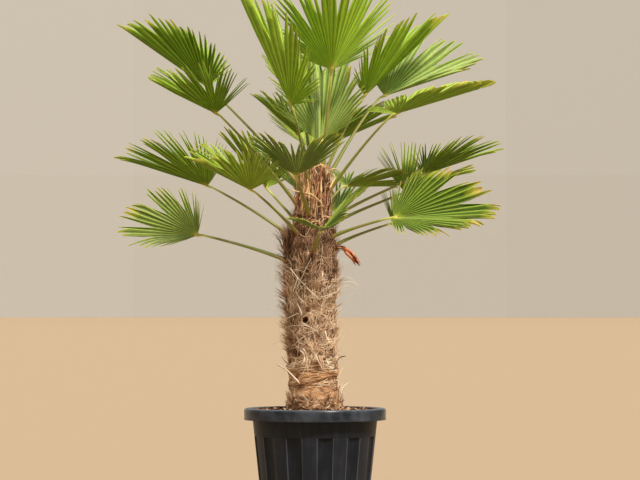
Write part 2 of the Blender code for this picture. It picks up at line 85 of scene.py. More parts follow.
# Fronds, one row each. hub: where blade and petiole meet. rise: the blade's direction in the front
# view, degrees. lean: degrees away from the viewer. roll: turn about the blade's own axis. length:
# longest segment. spread: degrees from the axis to the last segment on either side. fold: degrees
# that each half is folded up. shorten: share by which the last segment is shorter. root: height on
# the trunk. split: share of a segment that is joined to the next. bunch: segments that hang
# together. glow: painted light or shade, how much paler or deeper than its colour the
# frond is drawn, 0 to 1. dry: how far its tips have dried, 0 to 1. tone: the leaf colour that it
# has; bright, deep, shade and sage are painted lit and shaded copies of the green.
Frond = namedtuple("Frond", "hub rise lean roll length spread fold shorten root split bunch glow dry tone")
FRONDS = tuple(Frond(*row) for row in (
    ((-0.330, 0.120, 1.315), 150, 0, 2, 0.335, (105, 105), 32, 0.50, 1.000, 0.86, 1, 0.55, 0.05, "deep"),
    ((-0.295, -0.100, 1.220), 160, -35, 0, 0.255, (102, 98), 36, 0.42, 0.940, 0.56, 4, 0.62, 0.20, "deep"),
    ((-0.325, 0.040, 1.010), 167, 0, 8, 0.295, (108, 108), 38, 0.40, 0.850, 0.46, 3, 0.65, 0.30, "deep"),
    ((-0.190, -0.170, 0.990), 160, -35, 10, 0.245, (108, 96), 36, 0.50, 0.860, 0.66, 2, 0.65, 0.25, "mid"),
    ((-0.350, -0.060, 0.860), 180, -5, 54, 0.255, (40, 105), 17, 0.60, 0.780, 0.62, 4, 0.40, 0.20, "sage"),
    ((-0.150, 0.160, 1.010), 134, 20, 0, 0.250, (100, 100), 32, 0.50, 0.880, 0.55, 3, 0.50, 0.15, "mid"),
    ((-0.054, -0.205, 1.031), 93, -74, 0, 0.245, (105, 105), 30, 0.40, 0.915, 0.58, 2, 0.15, 0.15, "sage"),
    ((-0.072, -0.172, 1.240), 121, -12, 18, 0.390, (100, 100), 34, 0.75, 1.000, 0.64, 3, 0.40, 0.05,
     "bright"),
    ((0.050, -0.050, 1.355), 86, -38, 0, 0.355, (92, 92), 30, 0.36, 1.030, 0.56, 3, 0.85, 0.05, "bright"),
    ((0.020, 0.090, 1.145), 84, 15, 10, 0.285, (70, 70), 30, 0.36, 1.055, 0.80, 4, 0.85, 0.10, "grey"),
    ((0.152, 0.090, 1.286), 39, 0, 0, 0.365, (80, 92), 32, 0.72, 1.035, 0.66, 3, 0.55, 0.45, "bright"),
    ((0.213, 0.150, 1.290), 17, 12, 26, 0.345, (105, 40), 30, 0.72, 1.010, 0.60, 3, 0.80, 0.20, "grey"),
    ((0.245, -0.100, 1.220), 12, 0, 4, 0.315, (140, 112), 9, 0.60, 0.975, 0.80, 6, 0.60, 0.30, "mid"),
    ((0.030, 0.220, 1.140), 20, 35, 0, 0.285, (95, 95), 32, 0.50, 1.015, 0.60, 3, 0.50, 0.20, "mid"),
    ((0.095, 0.080, 1.010), -4, 45, 0, 0.245, (100, 100), 24, 0.68, 0.940, 0.55, 3, 0.50, 0.20, "mid"),
    ((0.275, 0.140, 0.995), 18, 40, 20, 0.270, (105, 105), 32, 0.50, 0.885, 0.45, 4, 0.40, 0.15, "mid"),
    ((0.330, 0.020, 1.045), 14, 20, 0, 0.270, (100, 100), 32, 0.70, 0.905, 0.50, 3, 0.15, 0.20, "deep"),
    ((0.235, -0.120, 0.910), 3, 0, 46, 0.320, (100, 115), 20, 0.84, 0.850, 0.66, 4, 0.05, 0.75, "shade"),
    ((0.240, 0.180, 0.900), 0, 40, 20, 0.240, (92, 92), 30, 0.50, 0.820, 0.50, 3, 0.50, 0.20, "mid"),
    ((0.019, -0.225, 0.868), -16, -79, 16, 0.210, (105, 75), 32, 0.40, 0.810, 0.62, 4, 0.05, 0.20, "shade"),
    ((0.065, 0.370, 0.940), 50, 60, 0, 0.225, (100, 100), 30, 0.50, 0.890, 0.50, 3, 0.50, 0.20, "mid"),
    ((-0.055, 0.200, 1.175), 142, 20, 0, 0.205, (100, 100), 32, 0.50, 0.995, 0.50, 3, 0.50, 0.20, "mid"),
    ((-0.060, 0.360, 1.015), 140, 55, 0, 0.225, (100, 100), 32, 0.50, 0.870, 0.50, 3, 0.50, 0.20, "mid"),
    ((-0.015, 0.420, 1.145), 100, 60, 0, 0.275, (100, 100), 32, 0.50, 0.945, 0.50, 3, 0.50, 0.20, "mid"),
    ((-0.040, 0.200, 1.270), 105, 35, 0, 0.270, (100, 100), 32, 0.50, 1.030, 0.50, 3, 0.50, 0.20, "mid"),
))

SPEAR_POINTS = (
    (0.004, 0.012, 1.050),
    (0.006, 0.020, 1.130),
    (0.006, 0.045, 1.240),
    (0.000, 0.080, 1.350),
    (-0.006, 0.110, 1.430),
)
SPEAR_RADII = (0.0070, 0.0065, 0.0085, 0.0070, 0.0012)
STALK_POINTS = (
    (0.044, -0.018, 0.826),
    (0.080, -0.032, 0.824),
    (0.104, -0.042, 0.806),
    (0.122, -0.048, 0.786),
    (0.134, -0.052, 0.768),
)
STEM_RADII = (0.0034, 0.0034, 0.0040, 0.0032, 0.0016)


def darker(colour, share):
    return tuple(part * share for part in tuple(colour)[:3]) + (1.0,)


def linear(text):
    """A colour from its sRGB hex value to the linear red, green, blue and alpha of a shader."""
    parts = [int(text[i:i + 2], 16) / 255.0 for i in (1, 3, 5)]
    return tuple(c / 12.92 if c <= 0.04045 else ((c + 0.055) / 1.055) ** 2.4 for c in parts) + (1.0,)


def colour_of(text, name, description):
    return FloatVectorProperty(
        name=name, description=description, default=linear(text), size=4, min=0.0, max=1.0, subtype="COLOR")


def length_of(value, name, description):
    return FloatProperty(name=name, description=description, default=value, min=0.0, unit="LENGTH")


# Selecting, shaping and finishing

def deselect():
    if bpy.context.object and bpy.context.object.mode != "OBJECT":
        bpy.ops.object.mode_set(mode="OBJECT")
    bpy.ops.object.select_all(action="DESELECT")


def choose(piece):
    deselect()
    piece.select_set(True)
    bpy.context.view_layer.objects.active = piece


def apply_modifiers(piece):
    choose(piece)
    for modifier in list(piece.modifiers):
        bpy.ops.object.modifier_apply(modifier=modifier.name)


def sheet_grid(name, columns, rows):
    """A flat grid whose UV map runs 0 to 1 across and 0 to 1 along."""
    deselect()
    bpy.ops.mesh.primitive_grid_add(x_subdivisions=columns, y_subdivisions=rows, size=2.0)
    piece = bpy.context.object
    piece.name = piece.data.name = name
    return piece


def corners(piece):
    """Each vertex's share across and along a flat grid."""
    flat = np.empty(len(piece.data.vertices) * 3)
    piece.data.vertices.foreach_get("co", flat)
    flat = flat.reshape(-1, 3)
    return (flat[:, 0] + 1.0) / 2.0, (flat[:, 1] + 1.0) / 2.0


def move_corners(piece, places):
    piece.data.vertices.foreach_set("co", np.ascontiguousarray(places, dtype=float).ravel())
    piece.data.update()


def weld(piece, distance=0.00002):
    """Merge the doubles of a piece and point its faces outwards."""
    choose(piece)
    bpy.ops.object.mode_set(mode="EDIT")
    bpy.ops.mesh.select_all(action="SELECT")
    bpy.ops.mesh.remove_doubles(threshold=distance)
    bpy.ops.mesh.normals_make_consistent(inside=False)
    bpy.ops.object.mode_set(mode="OBJECT")


def face_outwards(piece):
    choose(piece)
    bpy.ops.object.mode_set(mode="EDIT")
    bpy.ops.mesh.select_all(action="SELECT")
    bpy.ops.mesh.normals_make_consistent(inside=False)
    bpy.ops.object.mode_set(mode="OBJECT")


def mark(piece, name, values):
    """A number for each vertex that the piece's material reads."""
    values = np.broadcast_to(values, len(piece.data.vertices)).astype(np.float32).copy()
    piece.data.attributes.new(name, "FLOAT", "POINT").data.foreach_set("value", values)


def new_piece(name, points, faces):
    mesh = bpy.data.meshes.new(name)
    mesh.from_pydata(points.tolist(), [], faces)
    piece = bpy.data.objects.new(name, mesh)
    bpy.context.scene.collection.objects.link(piece)
    return piece


def join(pieces, name):
    deselect()
    for piece in pieces:
        piece.select_set(True)
    bpy.context.view_layer.objects.active = pieces[0]
    bpy.ops.object.join()
    pieces[0].name = pieces[0].data.name = name
    return pieces[0]


def finish_piece(piece, material, nodes, angle=None):
    """Shade a piece, give it its material, hang it on the body and hide the frame's parts that it stands in
    for.
    """
    choose(piece)
    if angle is None:
        bpy.ops.object.shade_smooth()
    else:
        bpy.ops.object.shade_smooth_by_angle(angle=math.radians(angle))
    piece.data.materials.clear()
    piece.data.materials.append(material)
    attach(piece, BODY)
    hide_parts(*nodes)


def unit(ways):
    return ways / np.linalg.norm(ways, axis=-1, keepdims=True)


def polar(radius, angle, height):
    return np.stack(np.broadcast_arrays(radius * np.cos(angle), radius * np.sin(angle), height), axis=-1)


def spin(places, first, second, angle):
    """Turn places by an angle, in the plane of two of their axes."""
    one, two = places[:, first], places[:, second]
    spun = places.copy()
    spun[:, first] = one * np.cos(angle) - two * np.sin(angle)
    spun[:, second] = one * np.sin(angle) + two * np.cos(angle)
    return spun


def rough(places, size, seed):
    """Smooth noise from -1 to 1 at each place, its lumps about size metres wide."""
    shift = Vector((seed * 7.31, seed * 3.17, seed * 5.71))
    return np.array([noise.noise(Vector(place) / size + shift) for place in places])


def curve_through(points, radii, count):
    """Evenly spread points and radii along a smooth curve through a few points."""
    points = np.array(points)
    knots = np.linspace(0.0, 1.0, len(points))
    shares = np.linspace(0.0, 1.0, count)
    turns = np.gradient(points, knots, axis=0)
    place = np.clip(np.searchsorted(knots, shares, side="right") - 1, 0, len(points) - 2)
    width = knots[1]
    t = ((shares - knots[place]) / width)[:, None]
    ends = points[place], points[place + 1]
    ways = turns[place] * width, turns[place + 1] * width
    line = ((2 * t**3 - 3 * t**2 + 1) * ends[0] + (t**3 - 2 * t**2 + t) * ways[0]
            + (3 * t**2 - 2 * t**3) * ends[1] + (t**3 - t**2) * ways[1])
    return line, np.interp(shares, knots, radii)


def frame_along(line, upper):
    """Ways across and over a line, its upper side towards a given way."""
    along = unit(np.gradient(line, axis=0))
    across = unit(np.cross(along, upper))
    return across, np.cross(across, along)


def roll_tube(name, columns, line, across, over, wide, high):
    """A closed tube round a line: a grid rolled up, with its ends drawn to a point."""
    rows = len(line) - 1
    piece = sheet_grid(name, columns, rows)
    u, v = corners(piece)
    row = np.rint(v * rows).astype(int)
    angle = -2.0 * math.pi * u
    column = np.rint(u * columns).astype(int) % columns
    wide_here, high_here = (size[row] if size.ndim == 1 else size[row, column] for size in (wide, high))
    places = (line[row] + across[row] * (wide_here * np.cos(angle))[:, None]
              + over[row] * (high_here * np.sin(angle))[:, None])
    move_corners(piece, places)
    weld(piece)
    return piece


def bundle(name, lines, facing, wide, thick, tones, sides):
    """One mesh of many thin strands, each with the same number of points and its own tone.

    lines and facing are strand x point x 3, wide and thick are strand x point.
    """
    count, points = wide.shape
    along = unit(np.gradient(lines, axis=1))
    across = unit(np.cross(along, facing))
    over = np.cross(across, along)
    angles = 2.0 * math.pi * np.arange(sides) / sides
    rings = (lines[:, :, None] + across[:, :, None] * (wide[:, :, None] * np.cos(angles))[..., None]
             + over[:, :, None] * (thick[:, :, None] * np.sin(angles))[..., None])
    first = (np.arange(count)[:, None, None] * points + np.arange(points - 1)[None, :, None]) * sides
    this = first + np.arange(sides)[None, None]
    following = first + (np.arange(sides)[None, None] + 1) % sides
    walls = np.stack((this, following, following + sides, this + sides), axis=-1).reshape(-1, 4)
    begin = np.arange(count)[:, None] * points * sides
    caps = np.concatenate((begin + np.arange(sides)[::-1], begin + (points - 1) * sides + np.arange(sides)))
    piece = new_piece(name, rings.reshape(-1, 3), walls.tolist() + caps.tolist())
    mark(piece, "tone", np.repeat(tones, points * sides))
    face_outwards(piece)
    return piece


# Materials

def new_material(name):
    material = bpy.data.materials.new(name)
    material.use_nodes = True
    tree = material.node_tree
    tree.nodes.clear()
    return material, tree


def add_node(tree, kind, inputs=None, stops=None, **settings):
    """A node with its settings, its values or links by socket, and a ramp's stops.

    A Mix of two colours takes its share at socket 0 and the colours at 6 and 7.
    """
    node = tree.nodes.new("ShaderNode" + kind)
    for name, value in settings.items():
        setattr(node, name, value)
    for key, value in (inputs or {}).items():
        if isinstance(value, bpy.types.NodeSocket):
            tree.links.new(value, node.inputs[key])
        else:
            node.inputs[key].default_value = value
    for i, (place, colour) in enumerate(stops or ()):
        if i > 1:
            node.color_ramp.elements.new(place)
        node.color_ramp.elements[i].position = place
        node.color_ramp.elements[i].color = colour
    return node


def leaf_material(name, light, dark, pale, hub, yellow, dry):
    """Living palm leaf: tough, waxed and ribbed lengthways.

    The eye sees a satin green with a pale line on every fold, fine parallel veins about 1.2 mm
    apart, yellower folds by the hub and tips that turn yellow and then dry to straw.
    """
    material, tree = new_material(name)
    uv = add_node(tree, "UVMap", uv_map="UVMap").outputs["UV"]
    across = add_node(tree, "SeparateXYZ", {"Vector": uv}).outputs["X"]
    along = add_node(tree, "Attribute", attribute_name="share").outputs["Fac"]
    tone = add_node(tree, "Attribute", attribute_name="tone").outputs["Fac"]
    place = add_node(tree, "TexCoord").outputs["Object"]
    # Mottling in patches of about 25 mm.
    patch = add_node(tree, "TexNoise", {"Vector": place, "Scale": 40.0, "Detail": 3.0}).outputs["Fac"]
    # Painted light and shade: the segment's tone, set about its frond's painted light, with the mottling,
    # mixes the green between its painted shaded copy and its light one.
    mixed = add_node(tree, "Math", {0: tone, 1: patch}, operation="ADD").outputs[0]
    level = add_node(tree, "MapRange", {"Value": mixed, "From Min": 0.35, "From Max": 1.5}).outputs[0]
    green = add_node(tree, "Mix", {0: level, 6: dark, 7: light}, data_type="RGBA").outputs[2]
    # Veins: 12 to a segment of about 15 mm.
    vein = add_node(tree, "Math", {0: across, 1: 12.0 * 2.0 * math.pi}, operation="MULTIPLY").outputs[0]
    vein = add_node(tree, "Math", {0: vein}, operation="SINE").outputs[0]
    veined = add_node(tree, "MapRange", {"Value": vein, "From Min": -1.0, "From Max": 1.0,
                                         "To Min": 0.0, "To Max": 0.14}).outputs[0]
    centre = add_node(tree, "Math", {0: across, 1: 0.5}, operation="SUBTRACT").outputs[0]
    centre = add_node(tree, "Math", {0: centre}, operation="ABSOLUTE").outputs[0]
    # Painted shade: the bottom of each fold is darkened towards the shaded green, fading out towards the
    # ridges.
    fold = add_node(tree, "MapRange", {"Value": centre, "From Min": 0.04, "From Max": 0.36,
                                       "To Min": 0.85, "To Max": 0.0}).outputs[0]
    # The midrib is about 1.5 mm wide.
    rib = add_node(tree, "MapRange", {"Value": centre, "From Min": 0.018, "From Max": 0.045,
                                      "To Min": 0.55, "To Max": 0.0}).outputs[0]
    edge = add_node(tree, "MapRange", {"Value": centre, "From Min": 0.36, "From Max": 0.47,
                                       "To Min": 0.0, "To Max": 0.85}).outputs[0]
    line = add_node(tree, "Math", {0: rib, 1: edge}, operation="MAXIMUM").outputs[0]
    near = add_node(tree, "MapRange", {"Value": along, "From Min": 0.0, "From Max": 0.13,
                                       "To Min": 0.8, "To Max": 0.0},
                    interpolation_type="SMOOTHSTEP").outputs[0]
    # Tips dry further down on the segments of a high dryness, with a yellow zone before the straw.
    dryness = add_node(tree, "Attribute", attribute_name="dry").outputs["Fac"]
    ragged = add_node(tree, "TexNoise", {"Vector": place, "Scale": 160.0, "Detail": 3.0}).outputs["Fac"]
    ragged = add_node(tree, "Math", {0: ragged, 1: 0.10, 2: -0.05}, operation="MULTIPLY_ADD").outputs[0]
    where = add_node(tree, "Math", {0: dryness, 1: 0.14, 2: along}, operation="MULTIPLY_ADD").outputs[0]
    where = add_node(tree, "Math", {0: where, 1: ragged}, operation="ADD").outputs[0]
    turning = add_node(tree, "MapRange", {"Value": where, "From Min": 0.92, "From Max": 1.06,
                                          "To Min": 0.0, "To Max": 0.9}).outputs[0]
    ended = add_node(tree, "MapRange", {"Value": where, "From Min": 1.03, "From Max": 1.10}).outputs[0]
    # Each colour lies over those before it.
    for share, colour in ((veined, pale), (fold, dark), (line, pale), (near, hub), (turning, yellow),
                          (ended, dry)):
        green = add_node(tree, "Mix", {0: share, 6: green, 7: colour}, data_type="RGBA").outputs[2]
    bump = add_node(tree, "Bump", {"Height": vein, "Strength": 0.25, "Distance": 0.0004}).outputs[0]
    shader = add_node(tree, "BsdfPrincipled", {
        "Base Color": green, "Normal": bump, "Roughness": 0.42, "IOR": 1.45, "Specular IOR Level": 0.28,
        "Subsurface Weight": 0.3, "Subsurface Radius": (0.5, 1.0, 0.1), "Subsurface Scale": 0.003})
    add_node(tree, "OutputMaterial", {"Surface": shader.outputs[0]})
    return material


def petiole_material(name, green, yellow, base, hub, tongue):
    """Living leaf stalk: green and waxed, with lengthways fibres, yellow at the hub and brown below."""
    material, tree = new_material(name)
    uv = add_node(tree, "UVMap", uv_map="UVMap").outputs["UV"]
    along = add_node(tree, "SeparateXYZ", {"Vector": uv}).outputs["Y"]
    # The map is about 25 mm round and 0.4 m long, so the streaks are 2 mm by 80 mm.
    streak = add_node(tree, "Mapping", {"Vector": uv, "Scale": (14.0, 5.0, 1.0)}).outputs[0]
    streak = add_node(tree, "TexNoise", {"Vector": streak, "Scale": 1.0, "Detail": 4.0}).outputs["Fac"]
    colour = add_node(tree, "ValToRGB", {"Fac": along},
                      stops=((0.0, base), (0.04, base), (0.16, green), (0.64, green),
                             (0.76, yellow), (0.84, hub), (0.93, hub), (0.97, tongue))).outputs["Color"]
    dark = add_node(tree, "Mix", {0: 0.45, 6: colour, 7: base}, data_type="RGBA").outputs[2]
    mask = add_node(tree, "MapRange", {"Value": streak, "From Min": 0.40, "From Max": 0.62,
                                       "To Min": 0.95, "To Max": 0.0}).outputs[0]
    colour = add_node(tree, "Mix", {0: mask, 6: colour, 7: dark}, data_type="RGBA").outputs[2]
    bump = add_node(tree, "Bump", {"Height": streak, "Strength": 0.3, "Distance": 0.001}).outputs[0]
    shader = add_node(tree, "BsdfPrincipled", {
        "Base Color": colour, "Normal": bump, "Roughness": 0.38, "IOR": 1.45})
    add_node(tree, "OutputMaterial", {"Surface": shader.outputs[0]})
    return material


def fibre_material(name, stops, roughness):
    """Dry palm fibre: coarse, matt brown strands, bleached to straw where they hang free.

    Each strand has a tone of its own, and weathering darkens it in patches of about 30 mm.
    """
    material, tree = new_material(name)
    place = add_node(tree, "TexCoord").outputs["Object"]
    tone = add_node(tree, "Attribute", attribute_name="tone").outputs["Fac"]
    patch = add_node(tree, "TexNoise", {"Vector": place, "Scale": 34.0, "Detail": 4.0}).outputs["Fac"]
    moved = add_node(tree, "Math", {0: patch, 1: 0.5, 2: -0.25}, operation="MULTIPLY_ADD").outputs[0]
    level = add_node(tree, "Math", {0: tone, 1: moved}, operation="ADD", use_clamp=True).outputs[0]
    colour = add_node(tree, "ValToRGB", {"Fac": level}, stops=stops).outputs["Color"]
    grain = add_node(tree, "TexNoise", {"Vector": place, "Scale": 700.0, "Detail": 2.0}).outputs["Fac"]
    bump = add_node(tree, "Bump", {"Height": grain, "Strength": 0.3, "Distance": 0.0005}).outputs[0]
    shader = add_node(tree, "BsdfPrincipled", {
        "Base Color": colour, "Normal": bump, "Roughness": roughness, "IOR": 1.45,
        "Specular IOR Level": 0.25})
    add_node(tree, "OutputMaterial", {"Surface": shader.outputs[0]})
    return material


def mat_material(name, low, high, shade_colour):
    """Felted palm fibre under the loose strands: crossed threads, each about 1 mm wide.

    Drawn 2 mm wide to show. Orange-brown by the compost, greyer above, with painted shade between
    the threads, in the hollows and under the crown.
    """
    material, tree = new_material(name)
    uv = add_node(tree, "UVMap", uv_map="UVMap").outputs["UV"]
    height = add_node(tree, "SeparateXYZ", {"Vector": uv}).outputs["Y"]
    # The map is about 0.46 m round and 0.74 m high, so the threads of each layer are 2 mm by 40 mm.
    threads = []
    for turn, shift in ((0.35, 0.0), (-0.5, 3.0), (1.35, 7.0)):
        laid = add_node(tree, "Mapping", {
            "Vector": uv, "Location": (shift, shift, 0.0), "Rotation": (0.0, 0.0, turn),
            "Scale": (230.0, 18.0, 1.0)}).outputs[0]
        threads.append(add_node(tree, "TexNoise", {
            "Vector": laid, "Scale": 1.0, "Detail": 2.0}, noise_dimensions="2D").outputs["Fac"])
    woven = add_node(tree, "Math", {0: threads[0], 1: threads[1]}, operation="MAXIMUM").outputs[0]
    woven = add_node(tree, "Math", {0: woven, 1: threads[2]}, operation="MAXIMUM").outputs[0]
    place = add_node(tree, "TexCoord").outputs["Object"]
    patch = add_node(tree, "TexNoise", {"Vector": place, "Scale": 26.0, "Detail": 4.0}).outputs["Fac"]
    lifted = add_node(tree, "Math", {0: patch, 1: 0.35, 2: -0.17}, operation="MULTIPLY_ADD").outputs[0]
    lifted = add_node(tree, "Math", {0: height, 1: lifted}, operation="ADD").outputs[0]
    rise = add_node(tree, "MapRange", {"Value": lifted, "From Min": 0.12, "From Max": 0.30}).outputs[0]
    colour = add_node(tree, "Mix", {0: rise, 6: low, 7: high}, data_type="RGBA").outputs[2]
    # Painted shade in the gaps between the threads.
    gap_shade = add_node(tree, "MapRange", {"Value": woven, "From Min": 0.48, "From Max": 0.66,
                                         "To Min": 0.62, "To Max": 0.0}).outputs[0]
    colour = add_node(tree, "Mix", {0: gap_shade, 6: colour, 7: shade_colour}, data_type="RGBA").outputs[2]
    # Painted shade in the hollows of fallen leaf bases and under the crown.
    hollow = add_node(tree, "Attribute", attribute_name="hollow").outputs["Fac"]
    colour = add_node(tree, "Mix", {0: hollow, 6: colour, 7: shade_colour}, data_type="RGBA").outputs[2]
    bump = add_node(tree, "Bump", {"Height": woven, "Strength": 0.8, "Distance": 0.004}).outputs[0]
    shader = add_node(tree, "BsdfPrincipled", {
        "Base Color": colour, "Normal": bump, "Roughness": 0.85, "IOR": 1.45,
        "Specular IOR Level": 0.2})
    add_node(tree, "OutputMaterial", {"Surface": shader.outputs[0]})
    return material


def cloth_material(name, pale, middle, dark):
    """Leaf sheath cloth: a thin felt of fibre, smooth and wrapped flat, streaked along its threads.

    The threads run round the trunk, about 1.2 mm wide and 20 mm long.
    """
    material, tree = new_material(name)
    uv = add_node(tree, "UVMap", uv_map="UVMap").outputs["UV"]
    along = add_node(tree, "SeparateXYZ", {"Vector": uv}).outputs["Y"]
    # The map is 0.46 m round and 0.05 m high.
    laid = add_node(tree, "Mapping", {"Vector": uv, "Rotation": (0.0, 0.0, 0.02), "Scale": (24.0, 42.0, 1.0)})
    streak = add_node(tree, "TexNoise", {
        "Vector": laid.outputs[0], "Scale": 1.0, "Detail": 3.0}).outputs["Fac"]
    place = add_node(tree, "TexCoord").outputs["Object"]
    patch = add_node(tree, "TexNoise", {"Vector": place, "Scale": 30.0, "Detail": 3.0}).outputs["Fac"]
    level = add_node(tree, "Math", {0: streak, 1: patch}, operation="ADD").outputs[0]
    level = add_node(tree, "MapRange", {"Value": level, "From Min": 0.72, "From Max": 1.30}).outputs[0]
    colour = add_node(tree, "ValToRGB", {"Fac": level},
                      stops=((0.0, dark), (0.35, middle), (0.75, pale))).outputs["Color"]
    # Painted shade along the lower edge of each band.
    lower_edge_shade = add_node(tree, "MapRange", {"Value": along, "From Min": 0.0, "From Max": 0.12,
                                      "To Min": 0.6, "To Max": 0.0}).outputs[0]
    colour = add_node(tree, "Mix", {0: lower_edge_shade, 6: colour, 7: dark}, data_type="RGBA").outputs[2]
    bump = add_node(tree, "Bump", {"Height": streak, "Strength": 0.7, "Distance": 0.002}).outputs[0]
    shader = add_node(tree, "BsdfPrincipled", {
        "Base Color": colour, "Normal": bump, "Roughness": 0.75, "IOR": 1.45, "Specular IOR Level": 0.25})
    add_node(tree, "OutputMaterial", {"Surface": shader.outputs[0]})
    return material


def plastic_material(name, black, dust_and_sheen):
    """Moulded recycled polypropylene: near black and satin, with fine mould grain and dry dust.

    The dust lies in faint clouds, and thickest on what faces up, where its pale colour also paints a
    highlight. The same colour paints highlights on the flute edges and sky reflection on the rim.
    """
    material, tree = new_material(name)
    place = add_node(tree, "TexCoord").outputs["Object"]
    # Clouds of about 70 mm, crossed with runs of 17 mm by 200 mm.
    cloud = add_node(tree, "TexNoise", {"Vector": place, "Scale": 14.0, "Detail": 6.0,
                                        "Roughness": 0.65}).outputs["Fac"]
    runs = add_node(tree, "Mapping", {"Vector": place, "Scale": (60.0, 60.0, 5.0)}).outputs[0]
    runs = add_node(tree, "TexNoise", {"Vector": runs, "Scale": 1.0, "Detail": 3.0}).outputs["Fac"]
    clouds = add_node(tree, "Math", {0: cloud, 1: runs}, operation="MULTIPLY").outputs[0]
    clouds = add_node(tree, "MapRange", {"Value": clouds, "From Min": 0.20, "From Max": 0.42,
                                         "To Min": 0.0, "To Max": 0.035}).outputs[0]
    # Dust in clouds and on what faces up; the lighter tops, the rim's upper edge most, are also a painted
    # highlight.
    facing = add_node(tree, "NewGeometry").outputs["Normal"]
    up = add_node(tree, "SeparateXYZ", {"Vector": facing}).outputs["Z"]
    up_dust_and_highlight = add_node(tree, "MapRange", {"Value": up, "From Min": 0.3, "From Max": 1.0,
                                        "To Min": 0.0, "To Max": 0.28}).outputs[0]
    dust_and_highlight = add_node(tree, "Math", {0: clouds, 1: up_dust_and_highlight}, operation="ADD").outputs[0]
    colour = add_node(tree, "Mix", {0: dust_and_highlight, 6: black, 7: dust_and_sheen}, data_type="RGBA").outputs[2]
    # The ribs between the flutes are a little paler, and the flutes' edges carry a painted highlight in
    # patches.
    worn = add_node(tree, "Attribute", attribute_name="worn").outputs["Fac"]
    paler_ribs = add_node(tree, "MapRange", {"Value": worn, "From Min": 0.0, "From Max": 0.4,
                                        "To Min": 0.0, "To Max": 0.026}).outputs[0]
    edge_highlight = add_node(tree, "MapRange", {"Value": worn, "From Min": 0.6, "From Max": 1.0,
                                         "To Min": 0.0, "To Max": 0.55}).outputs[0]
    edge_highlight = add_node(tree, "Math", {0: edge_highlight, 1: cloud}, operation="MULTIPLY").outputs[0]
    worn = add_node(tree, "Math", {0: paler_ribs, 1: edge_highlight}, operation="ADD").outputs[0]
    colour = add_node(tree, "Mix", {0: worn, 6: colour, 7: dust_and_sheen}, data_type="RGBA").outputs[2]
    # The rim, handled and washed more than the wall, is smoother and so shinier, and pale blotches on it
    # paint a sky reflection.
    high = add_node(tree, "SeparateXYZ", {"Vector": place}).outputs["Z"]
    rim = add_node(tree, "MapRange", {"Value": high, "From Min": 0.306, "From Max": 0.311}).outputs[0]
    rim_reflection = add_node(tree, "MapRange", {"Value": cloud, "From Min": 0.36, "From Max": 0.64,
                                          "To Min": 0.02, "To Max": 0.17}).outputs[0]
    reflected_rim = add_node(tree, "Mix", {0: rim_reflection, 6: colour, 7: dust_and_sheen}, data_type="RGBA").outputs[2]
    colour = add_node(tree, "Mix", {0: rim, 6: colour, 7: reflected_rim}, data_type="RGBA").outputs[2]
    # Mould grain of about 0.7 mm.
    grain = add_node(tree, "TexNoise", {"Vector": place, "Scale": 1400.0}).outputs["Fac"]
    satin = add_node(tree, "MapRange", {"Value": rim, "To Min": 0.42, "To Max": 0.20}).outputs[0]
    matt = add_node(tree, "MapRange", {"Value": dust_and_highlight, "From Min": 0.0, "From Max": 0.3,
                                       "To Min": 0.0, "To Max": 0.25}).outputs[0]
    matt = add_node(tree, "Math", {0: satin, 1: matt}, operation="ADD").outputs[0]
    bump = add_node(tree, "Bump", {"Height": grain, "Strength": 0.12, "Distance": 0.0004}).outputs[0]
    shader = add_node(tree, "BsdfPrincipled", {
        "Base Color": colour, "Normal": bump, "Roughness": matt, "IOR": 1.49,
        "Specular IOR Level": 0.17})
    add_node(tree, "OutputMaterial", {"Surface": shader.outputs[0]})
    return material


def bark_material(name, stops):
    """Composted bark: crumbly, matt and reddish brown, each chip a little different."""
    material, tree = new_material(name)
    place = add_node(tree, "TexCoord").outputs["Object"]
    tone = add_node(tree, "Attribute", attribute_name="tone").outputs["Fac"]
    # Crumbs of about 5 mm.
    crumb = add_node(tree, "TexNoise", {"Vector": place, "Scale": 180.0, "Detail": 5.0,
                                        "Roughness": 0.7}).outputs["Fac"]
    moved = add_node(tree, "Math", {0: crumb, 1: 0.6, 2: -0.3}, operation="MULTIPLY_ADD").outputs[0]
    level = add_node(tree, "Math", {0: tone, 1: moved}, operation="ADD", use_clamp=True).outputs[0]
    colour = add_node(tree, "ValToRGB", {"Fac": level}, stops=stops).outputs["Color"]
    bump = add_node(tree, "Bump", {"Height": crumb, "Strength": 0.7, "Distance": 0.003}).outputs[0]
    shader = add_node(tree, "BsdfPrincipled", {
        "Base Color": colour, "Normal": bump, "Roughness": 0.92, "IOR": 1.45,
        "Specular IOR Level": 0.2})
    add_node(tree, "OutputMaterial", {"Surface": shader.outputs[0]})
    return material


def stage_material(name, colour, roughness):
    material, tree = new_material(name)
    shader = add_node(tree, "BsdfPrincipled", {"Base Color": colour, "Roughness": roughness,
                                               "Specular IOR Level": 0.1})
    add_node(tree, "OutputMaterial", {"Surface": shader.outputs[0]})
    return material


# Sizes and colours that a user would change

class StageSettings(PropertyGroup):
    floor: colour_of("#ad9679", "Floor", "Colour of the plain floor")
    wall: colour_of("#b0ada5", "Backdrop", "Colour of the plain backdrop")
    sky: colour_of("#f5f6f6", "Sky", "Colour of the soft light from all round")
    sky_strength: FloatProperty(name="Sky strength", description="Strength of the soft light",
                                default=0.85, min=0.0)
    key_strength: FloatProperty(name="Key strength", description="Strength of the light from the right",
                                default=4.0, min=0.0)
    key_angle: FloatProperty(name="Key softness", description="Apparent size of the light from the right",
                             default=math.radians(11.0), min=0.0, max=math.pi, subtype="ANGLE")
    key_rise: FloatProperty(name="Key height", description="Angle of the light over the floor",
                            default=math.radians(50.0), min=0.0, max=math.pi / 2, subtype="ANGLE")
    key_side: FloatProperty(name="Key side", description="Angle of the light to the right of the front",
                            default=math.radians(34.0), min=-math.pi, max=math.pi, subtype="ANGLE")


